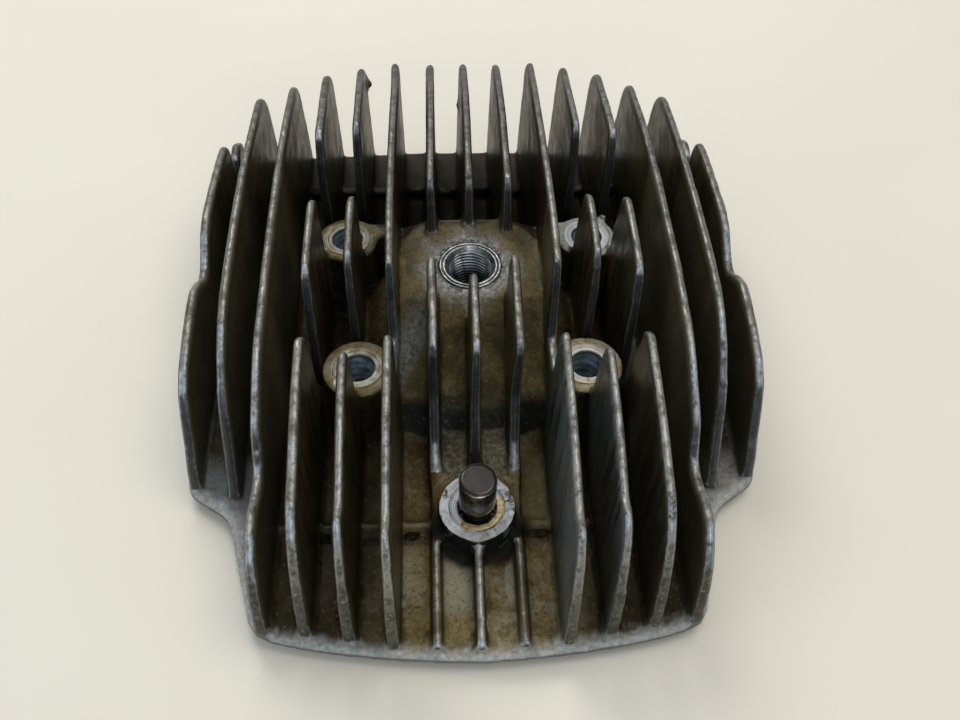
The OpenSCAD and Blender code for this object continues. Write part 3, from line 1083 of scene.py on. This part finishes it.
def level_dirt_and_shade(f):
    """Level faces: brown oil, with ochre oxide and pale grit in the middle and the front, and painted shade
    on the plate behind the dome.
    """
    ochre = f.mix(f.step(f.patch, 0.36, 0.66), (0.060, 0.042, 0.012), (0.178, 0.130, 0.048))
    ochre = f.mix(
        f.times(f.step(f.noise(9, 5, 0.7, offset=6), 0.44, 0.62), 0.85), ochre, (0.205, 0.178, 0.112),
    )
    ochre = f.mix(f.times(f.step(f.grain, 0.56, 0.74), 0.55), ochre, (0.34, 0.30, 0.20))
    ochre = f.mix(f.times(f.step(f.speck, 0.6, 0.7), 0.6), ochre, (0.018, 0.014, 0.007))
    ochre = f.mix(f.times(f.step(f.grain, 0.46, 0.34), 0.6), ochre, (0.030, 0.021, 0.008))
    tinge = f.noise(2.4, 3, 0.7, offset=14)
    dome = f.mix(f.step(f.patch, 0.38, 0.66), (0.046, 0.034, 0.011), (0.128, 0.098, 0.040))
    dome = f.mix(f.times(f.step(f.grain, 0.6, 0.74), 0.4), dome, (0.24, 0.215, 0.14))
    ochre = f.mix(f.times(f.step(f.z, 13.5, 17), f.step(f.y, -31, -27)), ochre, dome)
    ochre = f.mix(f.times(f.step(tinge, 0.54, 0.68), 0.45), ochre, (0.110, 0.053, 0.011))
    ochre = f.mix(f.times(f.step(tinge, 0.46, 0.32), 0.45), ochre, (0.060, 0.062, 0.017))
    rust = all_of(f, f.band(f.x, -23, -10.5, 1.5), f.band(f.y, -68, -30, 5))
    ochre = f.mix(f.times(rust, f.step(f.patch, 0.3, 0.6)), ochre, (0.066, 0.040, 0.012))
    dry = all_of(f, f.band(f.x, 11, 24, 2), f.band(f.y, -62, -38, 5))
    ochre = f.mix(f.times(dry, 0.5), ochre, (0.160, 0.132, 0.062))
    cool = all_of(f, f.step(f.wide_x, 11, 9), f.band(f.y, -50, -30, 3), f.step(f.z, 14, 13))
    ochre = f.mix(
        f.times(cool, 0.7), ochre,
        f.mix(f.step(f.grain, 0.4, 0.68), (0.036, 0.038, 0.028), (0.20, 0.195, 0.15)),
    )
    brown = f.mix(f.step(f.patch, 0.35, 0.7), (0.012, 0.009, 0.004), (0.05, 0.035, 0.018))
    middle = f.times(f.step(f.wide_x, 34, 21), f.step(f.y, 36, 31))
    level = f.mix(middle, brown, ochre)
    # Painted shade: near black on the plate between the fins behind the dome; dark grey dirt beyond the rear
    # bar.
    shade_and_dirt_behind_dome = f.mix(
        f.step(f.y, 76.5, 79), (0.0045, 0.004, 0.0025),
        f.mix(f.patch, (0.024, 0.022, 0.016), (0.068, 0.061, 0.046)),
    )
    level = f.mix(f.step(f.y, 33, 38), level, shade_and_dirt_behind_dome)
    return level


def plate_marks(f, base):
    """Pale and dusty patches on the plate, painted highlights on the bars, painted shade in the pits and on
    the crown's front wall, and dark oil at the boss.
    """
    spot_x = f.math("DIVIDE", f.minus(f.x, -6.0), 6.5)
    spot_y = f.math("DIVIDE", f.minus(f.y, -79.0), 10.0)
    spot = f.plus(f.times(spot_x, spot_x), f.times(spot_y, spot_y))
    right_x = f.math("DIVIDE", f.minus(f.x, 8.7), 1.6)
    right_y = f.math("DIVIDE", f.plus(f.y, 79.0), 6.0)
    right_spot = f.plus(f.times(right_x, right_x), f.times(right_y, right_y))
    spot = f.math("MINIMUM", spot, right_spot)
    spot = f.plus(spot, f.times(f.minus(f.patch, 0.5), 3.2))
    pale = all_of(f, f.step(spot, 1.2, 0.3), f.step(f.z, 9, 8), f.step(f.up, 0.5, 0.9))
    speckled = f.mix(f.step(f.speck, 0.55, 0.7), (0.235, 0.225, 0.165), (0.12, 0.105, 0.06))
    base = f.mix(f.times(pale, 0.78), base, speckled)
    gap = f.math("ABSOLUTE", f.minus(f.math("FRACT", f.math("DIVIDE", f.wide_x, FIN_PITCH)), 0.5))
    # Painted highlights on the tops of the stiffening bars.
    painted_bar_highlight = all_of(
        f, f.band(f.y, -62.0, -60.6, 0.5), f.step(f.z, 6.4, 7.0), f.step(f.wide_x, 11, 12.5),
        f.step(f.z, 9.5, 9),
    )
    painted_far_bar_highlight = all_of(
        f, f.band(f.y, -11, -7.5, 0.6), f.step(f.wide_x, 70, 71.5), f.step(f.z, 7, 8),
        f.step(f.z, 11, 10),
    )
    painted_rear_bar_highlight = all_of(f, f.band(f.y, 74.8, 77.2, 0.5), f.step(f.z, 6.6, 7.2), f.step(f.z, 9.5, 9))
    painted_bar_highlight = f.times(any_of(f, painted_bar_highlight, painted_far_bar_highlight, painted_rear_bar_highlight), f.step(f.patch, 0.42, 0.58))
    base = f.mix(f.times(painted_bar_highlight, 0.7), base, (0.17, 0.16, 0.115))
    # Painted shade in the hollows in front of the bar.
    pit = all_of(
        f, f.band(f.y, -66.2, -62.2, 0.4), f.step(gap, 0.40, 0.30), f.step(f.z, 6.7, 6.3),
        f.step(f.wide_x, 11, 13),
    )
    pit = all_of(f, pit, f.step(f.z, 4.2, 4.6), f.step(f.patch, 0.36, 0.5))
    base = f.mix(f.times(pit, 0.85), base, (0.005, 0.0045, 0.004))
    dusty = all_of(
        f, f.step(f.wide_x, 57, 63), f.band(f.y, -66, -38, 5), f.step(f.up, 0.5, 0.9), f.step(f.z, 9, 8),
    )
    dust = f.mix(f.step(f.x, -10, 10), (0.15, 0.16, 0.17), (0.225, 0.22, 0.205))
    dust = f.mix(f.step(f.patch, 0.56, 0.72), dust, (0.075, 0.066, 0.05))
    base = f.mix(f.times(dusty, 0.85), base, dust)
    from_valve = f.from_axis(VALVE)
    ragged = f.plus(from_valve, f.times(f.patch, 4))
    foot = all_of(
        f, f.step(ragged, 18.2, 15.0), f.step(f.z, 14.9, 14.7), f.step(f.y, VALVE.y + 6, VALVE.y - 4),
    )
    base = f.mix(f.times(foot, 0.96), base, (0.009, 0.0098, 0.0095))
    # Painted shade on the front-facing wall of the dome.
    wall = all_of(
        f, f.step(f.facing, 0.45, 0.8), f.step(f.z, 25, 17), f.band(f.y, -36, -16, 2),
        f.step(f.wide_x, 26, 23),
    )
    base = f.mix(f.times(wall, 0.88), base, (0.019, 0.022, 0.021))
    return base, foot, wall


def dome_wear(f, base):
    """Worn grey-beige metal on the dome round the plug."""
    from_plug = f.from_axis(PLUG)
    on_dome = all_of(f, f.step(f.wide_x, 25, 23.3), f.step(f.z, 33, 36), f.band(f.y, -12, 34, 2))
    corner = all_of(f, f.step(f.plus(from_plug, f.times(f.patch, 4)), 23.4, 25.4), f.step(f.y, 10, 16))
    base = f.mix(
        all_of(f, corner, f.step(f.wide_x, 25, 23.3), f.step(f.z, 30, 34)), base, (0.020, 0.014, 0.007),
    )
    on_dome = f.times(on_dome, f.minus(1.0, corner))
    worn = all_of(f, on_dome, f.step(f.plus(from_plug, f.times(f.patch, 18)), 27, 17))
    beige = f.mix(f.step(f.grain, 0.36, 0.66), (0.115, 0.108, 0.094), (0.36, 0.362, 0.352))
    base = f.mix(f.times(worn, 0.92), base, beige)
    ring = all_of(f, on_dome, f.step(f.plus(from_plug, f.times(f.patch, 1.4)), 11.6, 10.8))
    burr = f.mix(f.step(f.grain, 0.5, 0.62), (0.035, 0.034, 0.031), (0.33, 0.33, 0.32))
    base = f.mix(f.times(ring, 0.85), base, burr)
    return base, worn


def dome_smear(f, base):
    """Bluish smear that runs down the left front slope of the dome."""
    along = f.minus(f.y, f.math("MULTIPLY_ADD", f.x, 1.67, 16.7))
    along = f.plus(along, f.times(f.minus(f.patch, 0.5), 14))
    smear = all_of(
        f, f.band(along, -6, 6, 5), f.band(f.y, -25, -4, 5), f.step(f.x, -11.5, -14), f.step(f.z, 16, 24),
    )
    smear = f.times(smear, f.step(f.grain, 0.3, 0.6))
    base = f.mix(f.times(smear, 0.8), base, (0.215, 0.232, 0.228))
    return base


def seat_colours(f, base):
    """Seats of the studs: ochre on the left, paler on the right."""
    for name, place in STUDS.items():
        level_band = f.band(f.z, STUD_SEAT - 0.9, STUD_SEAT + 0.6, 0.25)
        seat = all_of(f, f.step(f.from_axis(place), 11.2, 10.6), level_band, f.step(f.up, 0.5, 0.8))
        colour = {
            "front_left": f.mix(f.step(f.patch, 0.4, 0.62), (0.135, 0.092, 0.030), (0.235, 0.20, 0.125)),
            "front_right": f.mix(f.step(f.patch, 0.45, 0.65), (0.36, 0.31, 0.21), (0.22, 0.14, 0.05)),
            "rear_left": f.mix(f.step(f.patch, 0.4, 0.62), (0.098, 0.074, 0.018), (0.165, 0.142, 0.075)),
            "rear_right": f.mix(f.step(f.patch, 0.4, 0.65), (0.38, 0.39, 0.37), (0.27, 0.27, 0.24)),
        }[name]
        base = f.mix(seat, base, colour)
    return base


def sand_grit(f, base, foot):
    """Fine grit of the sand mould on the level faces."""
    grit = f.noise(0.95, 3, 0.75, offset=15)
    level_face = all_of(f, f.step(f.side, 0.6, 0.2), f.step(f.y, 36, 31), f.minus(1.0, foot))
    base = f.mix(all_of(f, level_face, f.step(grit, 0.47, 0.36), 0.62), base, (0.022, 0.016, 0.007))
    base = f.mix(all_of(f, level_face, f.step(grit, 0.56, 0.68), 0.34), base, (0.34, 0.30, 0.21))
    return base


def underside_soil(f, base):
    """Underside of the plate: even brown oil with pale grit."""
    under = all_of(f, f.step(f.up, -0.35, -0.75), f.step(f.z, 9, 8))
    soil = f.mix(f.step(f.patch, 0.35, 0.70), (0.030, 0.024, 0.013), (0.078, 0.062, 0.036))
    soil = f.mix(f.times(f.step(f.coarse, 0.5, 0.68), 0.5), soil, (0.100, 0.084, 0.055))
    soil = f.mix(f.times(f.step(f.grain, 0.54, 0.70), 0.4), soil, (0.170, 0.152, 0.115))
    base = f.mix(under, base, soil)
    return base, under


def bare_metal_and_painted_light(f, base):
    """Bare metal on fin tops and along the plate's edge, with dirt left in its pits, painted highlights on
    the fins' front corners, and painted shade on their front ends and on the plate's edge.
    """
    mottle = f.noise(3.6, 5, 0.68, offset=8)
    stretch = f.noise(26, 3, 0.5, offset=12)
    top_colour = f.mix(f.step(mottle, 0.36, 0.62), (0.085, 0.076, 0.055), (0.225, 0.212, 0.18))
    top_colour = f.mix(f.times(f.step(f.grain, 0.54, 0.70), f.blend(stretch, 0.1, 0.9)), top_colour, (0.40, 0.40, 0.38))
    top_colour = f.mix(f.times(f.step(f.speck, 0.58, 0.70), 0.65), top_colour, (0.045, 0.040, 0.026))
    top_colour = f.mix(f.times(f.step(f.y, 62, 90), 0.6), top_colour, (0.068, 0.062, 0.052))
    nearer = f.times(f.step(f.y, 20, -60), f.step(mottle, 0.40, 0.58))
    top_colour = f.mix(f.times(nearer, 0.55), top_colour, (0.34, 0.33, 0.29))
    # Painted highlight: bluish-white on the fin tops where they turn down at the front.
    painted_corner_highlight = all_of(
        f, f.band(f.facing, 0.28, 0.76, 0.14), f.step(mottle, 0.30, 0.52), f.step(f.grain, 0.38, 0.54),
    )
    top_colour = f.mix(f.times(painted_corner_highlight, 0.8), top_colour, (0.46, 0.50, 0.54))
    ragged_side = f.plus(f.across, f.times(f.minus(mottle, 0.5), 0.9))
    edge = f.times(f.step(f.attribute("edge"), 0.35, 0.75), f.step(ragged_side, 0.92, 0.55))
    outer_drop = f.step(f.y, -52, -66)
    # Painted shade: front-facing fin ends turn dark blue-grey, and olive on the foremost drops, where it is
    # strongest low down.
    ragged_z = f.plus(f.z, f.times(f.minus(mottle, 0.5), 30))
    faded = f.times(f.step(ragged_z, 50, 20), 0.94)
    painted_front_shade = f.times(f.step(f.facing, 0.5, 0.9), f.blend(outer_drop, 0.93, faded))
    shaded = f.mix(f.step(f.grain, 0.6, 0.7), (0.028, 0.034, 0.034), (0.13, 0.15, 0.155))
    olive = f.mix(f.step(f.grain, 0.5, 0.66), (0.030, 0.028, 0.018), (0.17, 0.165, 0.13))
    top_colour = f.mix(painted_front_shade, top_colour, f.mix(outer_drop, shaded, olive))
    low_rib = all_of(
        f, f.step(f.z, 12, 10), f.step(f.wide_x, 5, 7), f.step(f.wide_x, 17, 15), f.step(f.y, -48, -52),
    )
    top_colour = f.mix(f.times(low_rib, f.step(f.patch, 0.62, 0.45)), top_colour, (0.11, 0.088, 0.05))
    base = f.mix(f.times(edge, 0.95), base, top_colour)
    outward = f.plus(f.attribute("rim"), f.times(f.minus(f.coarse, 0.5), 0.8))
    rim = all_of(f, f.step(outward, 0.2, 1.05), f.minus(1.0, edge), f.step(f.z, 10, 8), f.step(f.y, 60, 30))
    flange = f.mix(f.step(f.grain, 0.3, 0.7), (0.27, 0.275, 0.255), (0.48, 0.485, 0.455))
    base = f.mix(f.times(rim, 0.85), base, flange)
    # Painted shade on the steep faces along the plate's edge.
    painted_brow_shade = all_of(f, f.step(f.attribute("rim"), 0.8, 1.0), f.step(f.up, 0.5, 0.2))
    base = f.mix(f.times(painted_brow_shade, 0.8), base, f.mix(f.patch, (0.055, 0.06, 0.063), (0.13, 0.135, 0.135)))
    return base, edge, rim, mottle


def oily_casting_and_painted_light():
    """Rough aluminium under oil and baked dirt, worn bright along the fins' tops, with painted shade,
    highlights and reflections.
    """
    f = CastingFinish()
    side_colour = fin_side_dirt_and_painted_light(f)
    base = f.mix(f.side, level_dirt_and_shade(f), side_colour)
    base, foot, wall = plate_marks(f, base)
    base, worn = dome_wear(f, base)
    base = dome_smear(f, base)
    base = seat_colours(f, base)
    base = sand_grit(f, base, foot)
    base, under = underside_soil(f, base)
    base, edge, rim, mottle = bare_metal_and_painted_light(f, base)

    metal = f.times(any_of(f, edge, f.times(rim, 0.6), f.times(worn, 0.3)), 0.45)
    oil = f.blend(f.step(f.coarse, 0.35, 0.65), 0.34, 0.6)
    film = f.blend(f.step(f.blend(f.step(f.y, 30, 60), f.streak, f.patch), 0.35, 0.65), 0.30, 0.46)
    gloss = f.blend(edge, f.blend(f.side, oil, film), f.blend(f.step(mottle, 0.36, 0.62), 0.48, 0.30))
    rough = f.blend(f.side, 0.6, 0.07)
    relief = f.bump(f.noise(1.5, 5, 0.65, offset=9), 0.2, rough)
    relief = f.bump(f.grain, 0.14, rough, relief)
    relief = f.bump(f.streak, 0.05, all_of(f, f.side, f.step(f.y, 50, 20), 0.25), relief)
    oiled = f.times(f.minus(1.0, edge), f.minus(1.0, worn))
    tint = f.mix(oiled, (1.0, 1.0, 1.0), (1.0, 0.82, 0.50))
    shine = f.blend(f.side, f.blend(oiled, 0.5, 0.26), f.blend(f.step(f.y, 40, 65), 0.30, 0.14))
    # No shine where shade is painted, behind the dome and on the dome's front wall, nor on the dark oil at
    # the boss.
    dull_shade_and_oil = any_of(f, f.times(f.step(f.y, 34, 38), f.step(f.z, 12, 9)), foot, wall)
    dull_shade_and_oil = f.times(dull_shade_and_oil, f.minus(1.0, under))
    shine = f.blend(dull_shade_and_oil, shine, 0.05)
    f.set(Base_Color=base, Metallic=metal, Roughness=gloss, Normal=relief, Specular_Tint=tint)
    return f.set(Specular_IOR_Level=shine)


def turned_metal(name, bright, dull, centre, line=0.35, rough=0.3, grime=None, amount=0.5, metallic=1.0):
    """Lathe-turned metal with fine rings about centre, scratches and grime."""
    f = Finish(name)
    reach = f.from_axis(centre)
    rings = f.math("SINE", f.times(f.plus(reach, f.noise(9, 2)), 2 * math.pi / line))
    stain = f.noise(3.5, 5, 0.65, offset=2)
    fine = f.noise(0.5, 3, 0.6, offset=3)
    base = f.mix(f.step(stain, 0.35, 0.65), bright, dull)
    if grime:
        dirty = f.step(f.plus(stain, f.times(fine, 0.35)), 0.78 - amount * 0.3, 0.9 - amount * 0.3)
        base = f.mix(dirty, base, grime)
        shine = f.times(f.minus(1.0, f.times(dirty, 0.8)), metallic)
    else:
        shine = metallic
    gloss = f.blend(fine, rough - 0.06, rough + 0.14)
    relief = f.bump(f.math("MULTIPLY_ADD", rings, 0.5, 0.5), 0.012, 0.5)
    relief = f.bump(f.noise(1.3, 4, 0.6, offset=5), 0.06, 0.6, relief)
    return f.set(Base_Color=base, Metallic=shine, Roughness=gloss, Normal=relief)


def boss_face():
    """Pale machined top of the valve boss with small stains."""
    f = Finish("machined_boss_face")
    stain = f.noise(2.2, 5, 0.7, offset=1)
    fine = f.noise(0.45, 3, 0.6, offset=2)
    base = f.mix(f.step(stain, 0.35, 0.6), (0.38, 0.385, 0.40), (0.23, 0.232, 0.23))
    base = f.mix(f.step(f.plus(stain, f.times(fine, 0.4)), 0.81, 0.90), base, (0.06, 0.052, 0.03))
    relief = f.bump(f.noise(1.0, 4, 0.6, offset=3), 0.08, 0.7)
    return f.set(Base_Color=base, Metallic=0.55, Roughness=f.blend(fine, 0.3, 0.5), Normal=relief)


def bore_wall():
    """Blue-grey, oily wall of a drilled hole."""
    f = Finish("bore_wall")
    stain = f.noise(3, 4, 0.6, offset=1)
    base = f.mix(f.step(stain, 0.4, 0.62), (0.46, 0.55, 0.62), (0.19, 0.23, 0.26))
    relief = f.bump(f.noise(0.8, 4, 0.6, offset=2), 0.12, 0.8)
    return f.set(Base_Color=base, Metallic=0.25, Roughness=f.blend(stain, 0.25, 0.45), Normal=relief)


def gasket_face():
    """Faced aluminium with turning lines and the stain of a gasket."""
    f = Finish("gasket_face")
    reach = f.from_axis((0, CYLINDER_Y))
    rings = f.math("SINE", f.times(reach, 2 * math.pi / 0.5))
    stain = f.noise(8, 5, 0.65, offset=1)
    sealed = f.band(reach, 36, 41, 0.6)
    base = f.mix(f.step(stain, 0.4, 0.65), (0.42, 0.42, 0.41), (0.24, 0.22, 0.18))
    base = f.mix(f.times(sealed, f.step(stain, 0.3, 0.6)), base, (0.09, 0.07, 0.05))
    relief = f.bump(f.math("MULTIPLY_ADD", rings, 0.5, 0.5), 0.015, 0.6)
    return f.set(Base_Color=base, Metallic=0.8, Roughness=f.blend(stain, 0.28, 0.5), Normal=relief)


def burnt_chamber():
    """Chamber wall under soot that is thinner towards the squish band."""
    f = Finish("burnt_chamber")
    reach = f.from_axis((0, CYLINDER_Y))
    soot = f.noise(5, 6, 0.65, offset=1)
    thick = f.step(f.plus(f.math("DIVIDE", reach, 40), f.times(soot, 0.5)), 1.15, 0.75)
    base = f.mix(thick, (0.16, 0.12, 0.08), (0.018, 0.014, 0.011))
    base = f.mix(f.step(f.noise(1.2, 3, offset=2), 0.66, 0.74), base, (0.30, 0.24, 0.17))
    relief = f.bump(f.noise(1.6, 5, 0.65, offset=3), 0.25, 0.7)
    return f.set(Base_Color=base, Metallic=0.15, Roughness=f.blend(soot, 0.45, 0.8), Normal=relief)


def washer_finish(name, place, inner, outer, rust, rusty):
    """Worn steel, stained at the rim and paler near the hole."""
    f = Finish("washer_finish_" + name)
    reach = f.from_axis(place)
    patch = f.noise(2.8, 5, 0.65, offset=place.x)
    fine = f.noise(0.6, 3, 0.6, offset=2)
    wobbly = f.plus(reach, f.times(f.minus(patch, 0.5), 3))
    base = f.mix(f.step(wobbly, 5.4, 7.0), inner, outer)
    base = f.mix(f.times(f.step(patch, 0.62 - rusty * 0.2, 0.72 - rusty * 0.2), 0.85), base, rust)
    base = f.mix(f.step(fine, 0.68, 0.76), base, (0.04, 0.035, 0.025))
    base = f.mix(f.step(reach, 5.2, 4.85), base, (0.16, 0.17, 0.17))
    relief = f.bump(patch, 0.12, 0.7)
    relief = f.bump(fine, 0.05, 0.7, relief)
    return f.set(Base_Color=base, Metallic=0.35, Roughness=f.blend(fine, 0.36, 0.6), Normal=relief)


def thread_steel():
    """Bright steel of the plug insert: polished seat, blue-grey inside with painted highlights on the
    thread's crests, painted shade in its grooves and deeper down, and oil stains.
    """
    f = Finish("thread_steel")
    reach = f.from_axis(PLUG)
    stain = f.noise(2.4, 5, 0.65, offset=1)
    fine = f.noise(0.5, 3, 0.6, offset=2)
    bright = f.mix(f.step(stain, 0.38, 0.60), (0.37, 0.375, 0.37), (0.15, 0.145, 0.13))
    # Painted highlight on the thread's crests and painted shade in its grooves.
    inside = f.mix(f.step(reach, 6.42, 6.8), (0.62, 0.68, 0.70), (0.035, 0.045, 0.05))
    inside = f.mix(f.times(f.step(stain, 0.48, 0.66), 0.6), inside, (0.06, 0.065, 0.055))
    base = f.mix(f.step(f.mm("Z"), PLUG_TOP - 1.5, PLUG_TOP - 1.2), inside, bright)
    base = f.mix(f.step(f.plus(stain, f.times(fine, 0.4)), 0.84, 0.92), base, (0.04, 0.035, 0.028))
    groove = f.band(reach, 8.24, 8.54, 0.06)
    base = f.mix(f.times(groove, 0.9), base, (0.03, 0.028, 0.024))
    # Painted shade: near black deeper down the bore.
    low = f.step(f.mm("Z"), PLUG_TOP - 4.5, PLUG_TOP - 11)
    base = f.mix(f.times(low, 0.95), base, (0.006, 0.006, 0.006))
    relief = f.bump(f.noise(1.0, 4, 0.6, offset=3), 0.06, 0.7)
    return f.set(Base_Color=base, Metallic=0.85, Roughness=f.blend(fine, 0.22, 0.42), Normal=relief)


def bronze_lip():
    """Yellowed bronze: cream on the worn front of the lip, inside brown oil darkened further as painted
    shade.
    """
    f = Finish("stained_bronze_painted_shade")
    reach = f.from_axis(VALVE)
    patch = f.noise(1.7, 5, 0.7, offset=1)
    fine = f.noise(0.5, 3, 0.6, offset=2)
    ahead = f.minus(VALVE.y, f.mm("Y"))
    rightward = f.minus(f.mm("X"), VALVE.x)
    front = f.step(f.plus(ahead, f.times(rightward, 0.7)), 0.3, 2.6)
    cream = f.mix(f.step(patch, 0.42, 0.6), (0.62, 0.53, 0.34), (0.40, 0.27, 0.11))
    lip = f.mix(front, (0.37, 0.375, 0.385), cream)
    # Painted shade over brown oil: below the lip and inside it the bush is near black.
    oil_and_shade_inside = f.mix(patch, (0.010, 0.007, 0.004), (0.045, 0.028, 0.012))
    base = f.mix(
        f.times(f.step(f.mm("Z"), BOSS_TOP - 0.75, BOSS_TOP - 0.35), f.step(reach, 5.3, 5.5)), oil_and_shade_inside, lip,
    )
    base = f.mix(f.step(f.plus(patch, f.times(fine, 0.5)), 0.84, 0.92), base, (0.02, 0.015, 0.01))
    relief = f.bump(patch, 0.15, 0.8)
    return f.set(Base_Color=base, Metallic=0.4, Roughness=f.blend(fine, 0.3, 0.55), Normal=relief)


def button_finish():
    """Button: matt dark cap, polished barrel with thin brown-green oil."""
    f = Finish("button_finish")
    reach = f.from_axis(VALVE)
    z = f.mm("Z")
    patch = f.noise(3, 4, 0.6, offset=1)
    fine = f.noise(0.35, 3, 0.6, offset=2)
    cap = f.step(z, BUTTON_TOP - 0.75, BUTTON_TOP - 0.55)
    cap_colour = f.mix(f.step(patch, 0.35, 0.65), (0.028, 0.019, 0.016), (0.046, 0.034, 0.028))
    cap_colour = f.mix(f.step(fine, 0.66, 0.74), cap_colour, (0.085, 0.07, 0.058))
    cap_rim = f.times(cap, f.step(reach, 4.0, 4.3))
    cap_colour = f.mix(cap_rim, cap_colour, (0.010, 0.009, 0.008))
    barrel = f.mix(f.step(patch, 0.38, 0.62), (0.30, 0.31, 0.29), (0.075, 0.068, 0.040))
    # Painted shade: the barrel's rounded lower end is darker where it faces down into the bush.
    barrel = f.mix(f.step(z, BUTTON_LOW + 1.6, BUTTON_LOW + 0.4), barrel, (0.03, 0.025, 0.018))
    base = f.mix(cap, barrel, cap_colour)
    base = f.mix(f.step(reach, 4.75, 4.5), base, f.mix(cap, (0.02, 0.018, 0.015), base))
    gloss = f.blend(cap, f.blend(patch, 0.14, 0.26), f.blend(cap_rim, 0.62, 0.2))
    metal = f.blend(cap, 1.0, 0.15)
    relief = f.bump(fine, 0.03, 0.6)
    relief = f.bump(f.noise(1.5, 3, offset=4), 0.05, 0.5, relief)
    return f.set(Base_Color=base, Metallic=metal, Roughness=gloss, Normal=relief)


def oily_steel(name, colour, rough=0.3):
    """Dark steel with a film of oil."""
    f = Finish(name)
    patch = f.noise(1.8, 4, 0.6, offset=1)
    dark = tuple(0.35 * c for c in colour)
    base = f.mix(f.step(patch, 0.38, 0.64), colour, dark)
    relief = f.bump(f.noise(0.6, 4, 0.6, offset=2), 0.03, 0.6)
    return f.set(
        Base_Color=base, Metallic=0.9, Roughness=f.blend(patch, rough - 0.08, rough + 0.15),
        Normal=relief,
    )


def floor_finish():
    f = Finish("pale_floor")
    tone = f.noise(90, 3, 0.5, offset=1)
    base = f.mix(tone, (0.735, 0.67, 0.545), (0.80, 0.74, 0.62))
    return f.set(Base_Color=base, Roughness=0.75)


# ---------------------------------------------------------------- build


def place_piece(obj, body, node, finish=None, angle=40):
    if finish:
        obj.data.materials.clear()
        obj.data.materials.append(finish)
        shade(obj, angle)
    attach(obj, body)
    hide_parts(node)


def build():
    finishes = [oily_casting_and_painted_light(), boss_face(), bore_wall(), gasket_face(), burnt_chamber()]
    place_piece(casting(finishes), "head", "head_casting")
    place_piece(plug_insert(), "head", "plug_thread_insert", thread_steel(), 50)
    ochre = (0.36, 0.22, 0.08)
    looks = {
        "front_left": ((0.36, 0.35, 0.305), (0.25, 0.22, 0.145), (0.19, 0.135, 0.055), 0.7),
        "front_right": ((0.55, 0.53, 0.46), (0.47, 0.43, 0.33), ochre, 0.35),
        "rear_left": ((0.24, 0.235, 0.22), (0.17, 0.135, 0.065), (0.15, 0.10, 0.03), 0.7),
        "rear_right": ((0.46, 0.47, 0.46), (0.42, 0.42, 0.40), (0.30, 0.26, 0.18), 0.15),
    }
    for seed, (name, place) in enumerate(STUDS.items()):
        finish = washer_finish(name, place, *looks[name])
        place_piece(
            stud_washer(name, place, seed + 1), "head", "stud_washer_" + name, finish,
        )
    place_piece(guide_bush(), "head", "valve_guide_bush", bronze_lip())
    steel = oily_steel("valve_steel_oily", (0.30, 0.29, 0.27))
    place_piece(seat_ring(), "head", "valve_seat_ring", steel)
    place_piece(valve_stem(), "release_valve", "valve_stem", steel)
    place_piece(push_button(), "release_valve", "valve_button", button_finish(), 45)
    ring_steel = turned_metal("ring_steel", (0.60, 0.60, 0.58), (0.36, 0.34, 0.28), VALVE, rough=0.24)
    place_piece(snap_ring(), "release_valve", "button_snap_ring", ring_steel, 60)
    spring = return_spring()
    # The spring's steel is near black: painted shade under the button, over oily steel.
    spring_steel = oily_steel("spring_steel_oily_painted_shade", (0.045, 0.04, 0.034), 0.4)
    place_piece(spring, "head", "valve_return_spring", spring_steel, 60)
    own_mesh(spring)
    plug_steel = turned_metal(
        "plug_steel", (0.50, 0.50, 0.48), (0.30, 0.28, 0.24), VALVE, 0.5, 0.32, (0.05, 0.04, 0.03), 0.4,
    )
    place_piece(pocket_plug(), "head", "valve_pocket_plug", plug_steel)
    copper = turned_metal(
        "worn_copper", (0.52, 0.27, 0.15), (0.26, 0.13, 0.08), VALVE, 0.5, 0.36, (0.06, 0.04, 0.03), 0.3,
    )
    place_piece(copper_washer(), "head", "pocket_plug_washer", copper)


def studio():
    floor = block("studio_floor", (-900, -900, -4), (900, 900, -0.02))
    floor.data.materials.append(floor_finish())
    world = bpy.data.worlds.new("studio")
    world.use_nodes = True
    background = world.node_tree.nodes["Background"]
    background.inputs["Color"].default_value = (0.80, 0.87, 1.0, 1)
    background.inputs["Strength"].default_value = 0.45
    bpy.context.scene.world = world
    lamps = (
        ("window", (-0.3, 0.8, 0.95), 0.7, 7, (0.92, 0.96, 1.0)),
        ("ceiling", (0.3, 0.1, 1.15), 0.8, 5, (1.0, 0.96, 0.88)),
        ("front_window", (0.15, -0.95, 0.62), 0.4, 2.2, (0.74, 0.86, 1.0)),
        ("left_window", (-0.95, -0.25, 0.4), 0.5, 1.3, (0.72, 0.86, 1.0)),
    )
    for name, place, size, power, colour in lamps:
        light = bpy.data.lights.new(name, "AREA")
        light.shape = "DISK"
        light.size = size
        light.energy = power
        light.color = colour
        obj = bpy.data.objects.new(name, light)
        obj.location = place
        obj.rotation_euler = (Vector((0, 0, 0.03)) - Vector(place)).to_track_quat("-Z", "Y").to_euler()
        bpy.context.scene.collection.objects.link(obj)


def camera():
    """Camera in front of and above the valve end, looking down at the head."""
    yaw, pitch, roll = (math.radians(a) for a in (4.06, 52.41, 2.25))
    forward = Vector((math.sin(yaw) * math.cos(pitch), math.cos(yaw) * math.cos(pitch), -math.sin(pitch)))
    right = Vector((math.cos(yaw), -math.sin(yaw), 0))
    upward = right.cross(forward)
    tilted_right = right * math.cos(roll) + upward * math.sin(roll)
    tilted_up = upward * math.cos(roll) - right * math.sin(roll)
    data = bpy.data.cameras.new("camera")
    data.sensor_width = 36
    data.lens = 36.53
    data.clip_start = 0.01
    obj = bpy.data.objects.new("camera", data)
    turn = Matrix((tilted_right, tilted_up, -forward)).transposed().to_4x4()
    obj.matrix_world = Matrix.Translation((-0.01016, -0.19174, 0.25398)) @ turn
    bpy.context.scene.collection.objects.link(obj)
    bpy.context.scene.camera = obj


build()
studio()
camera()
bpy.context.scene.view_settings.view_transform = "Standard"
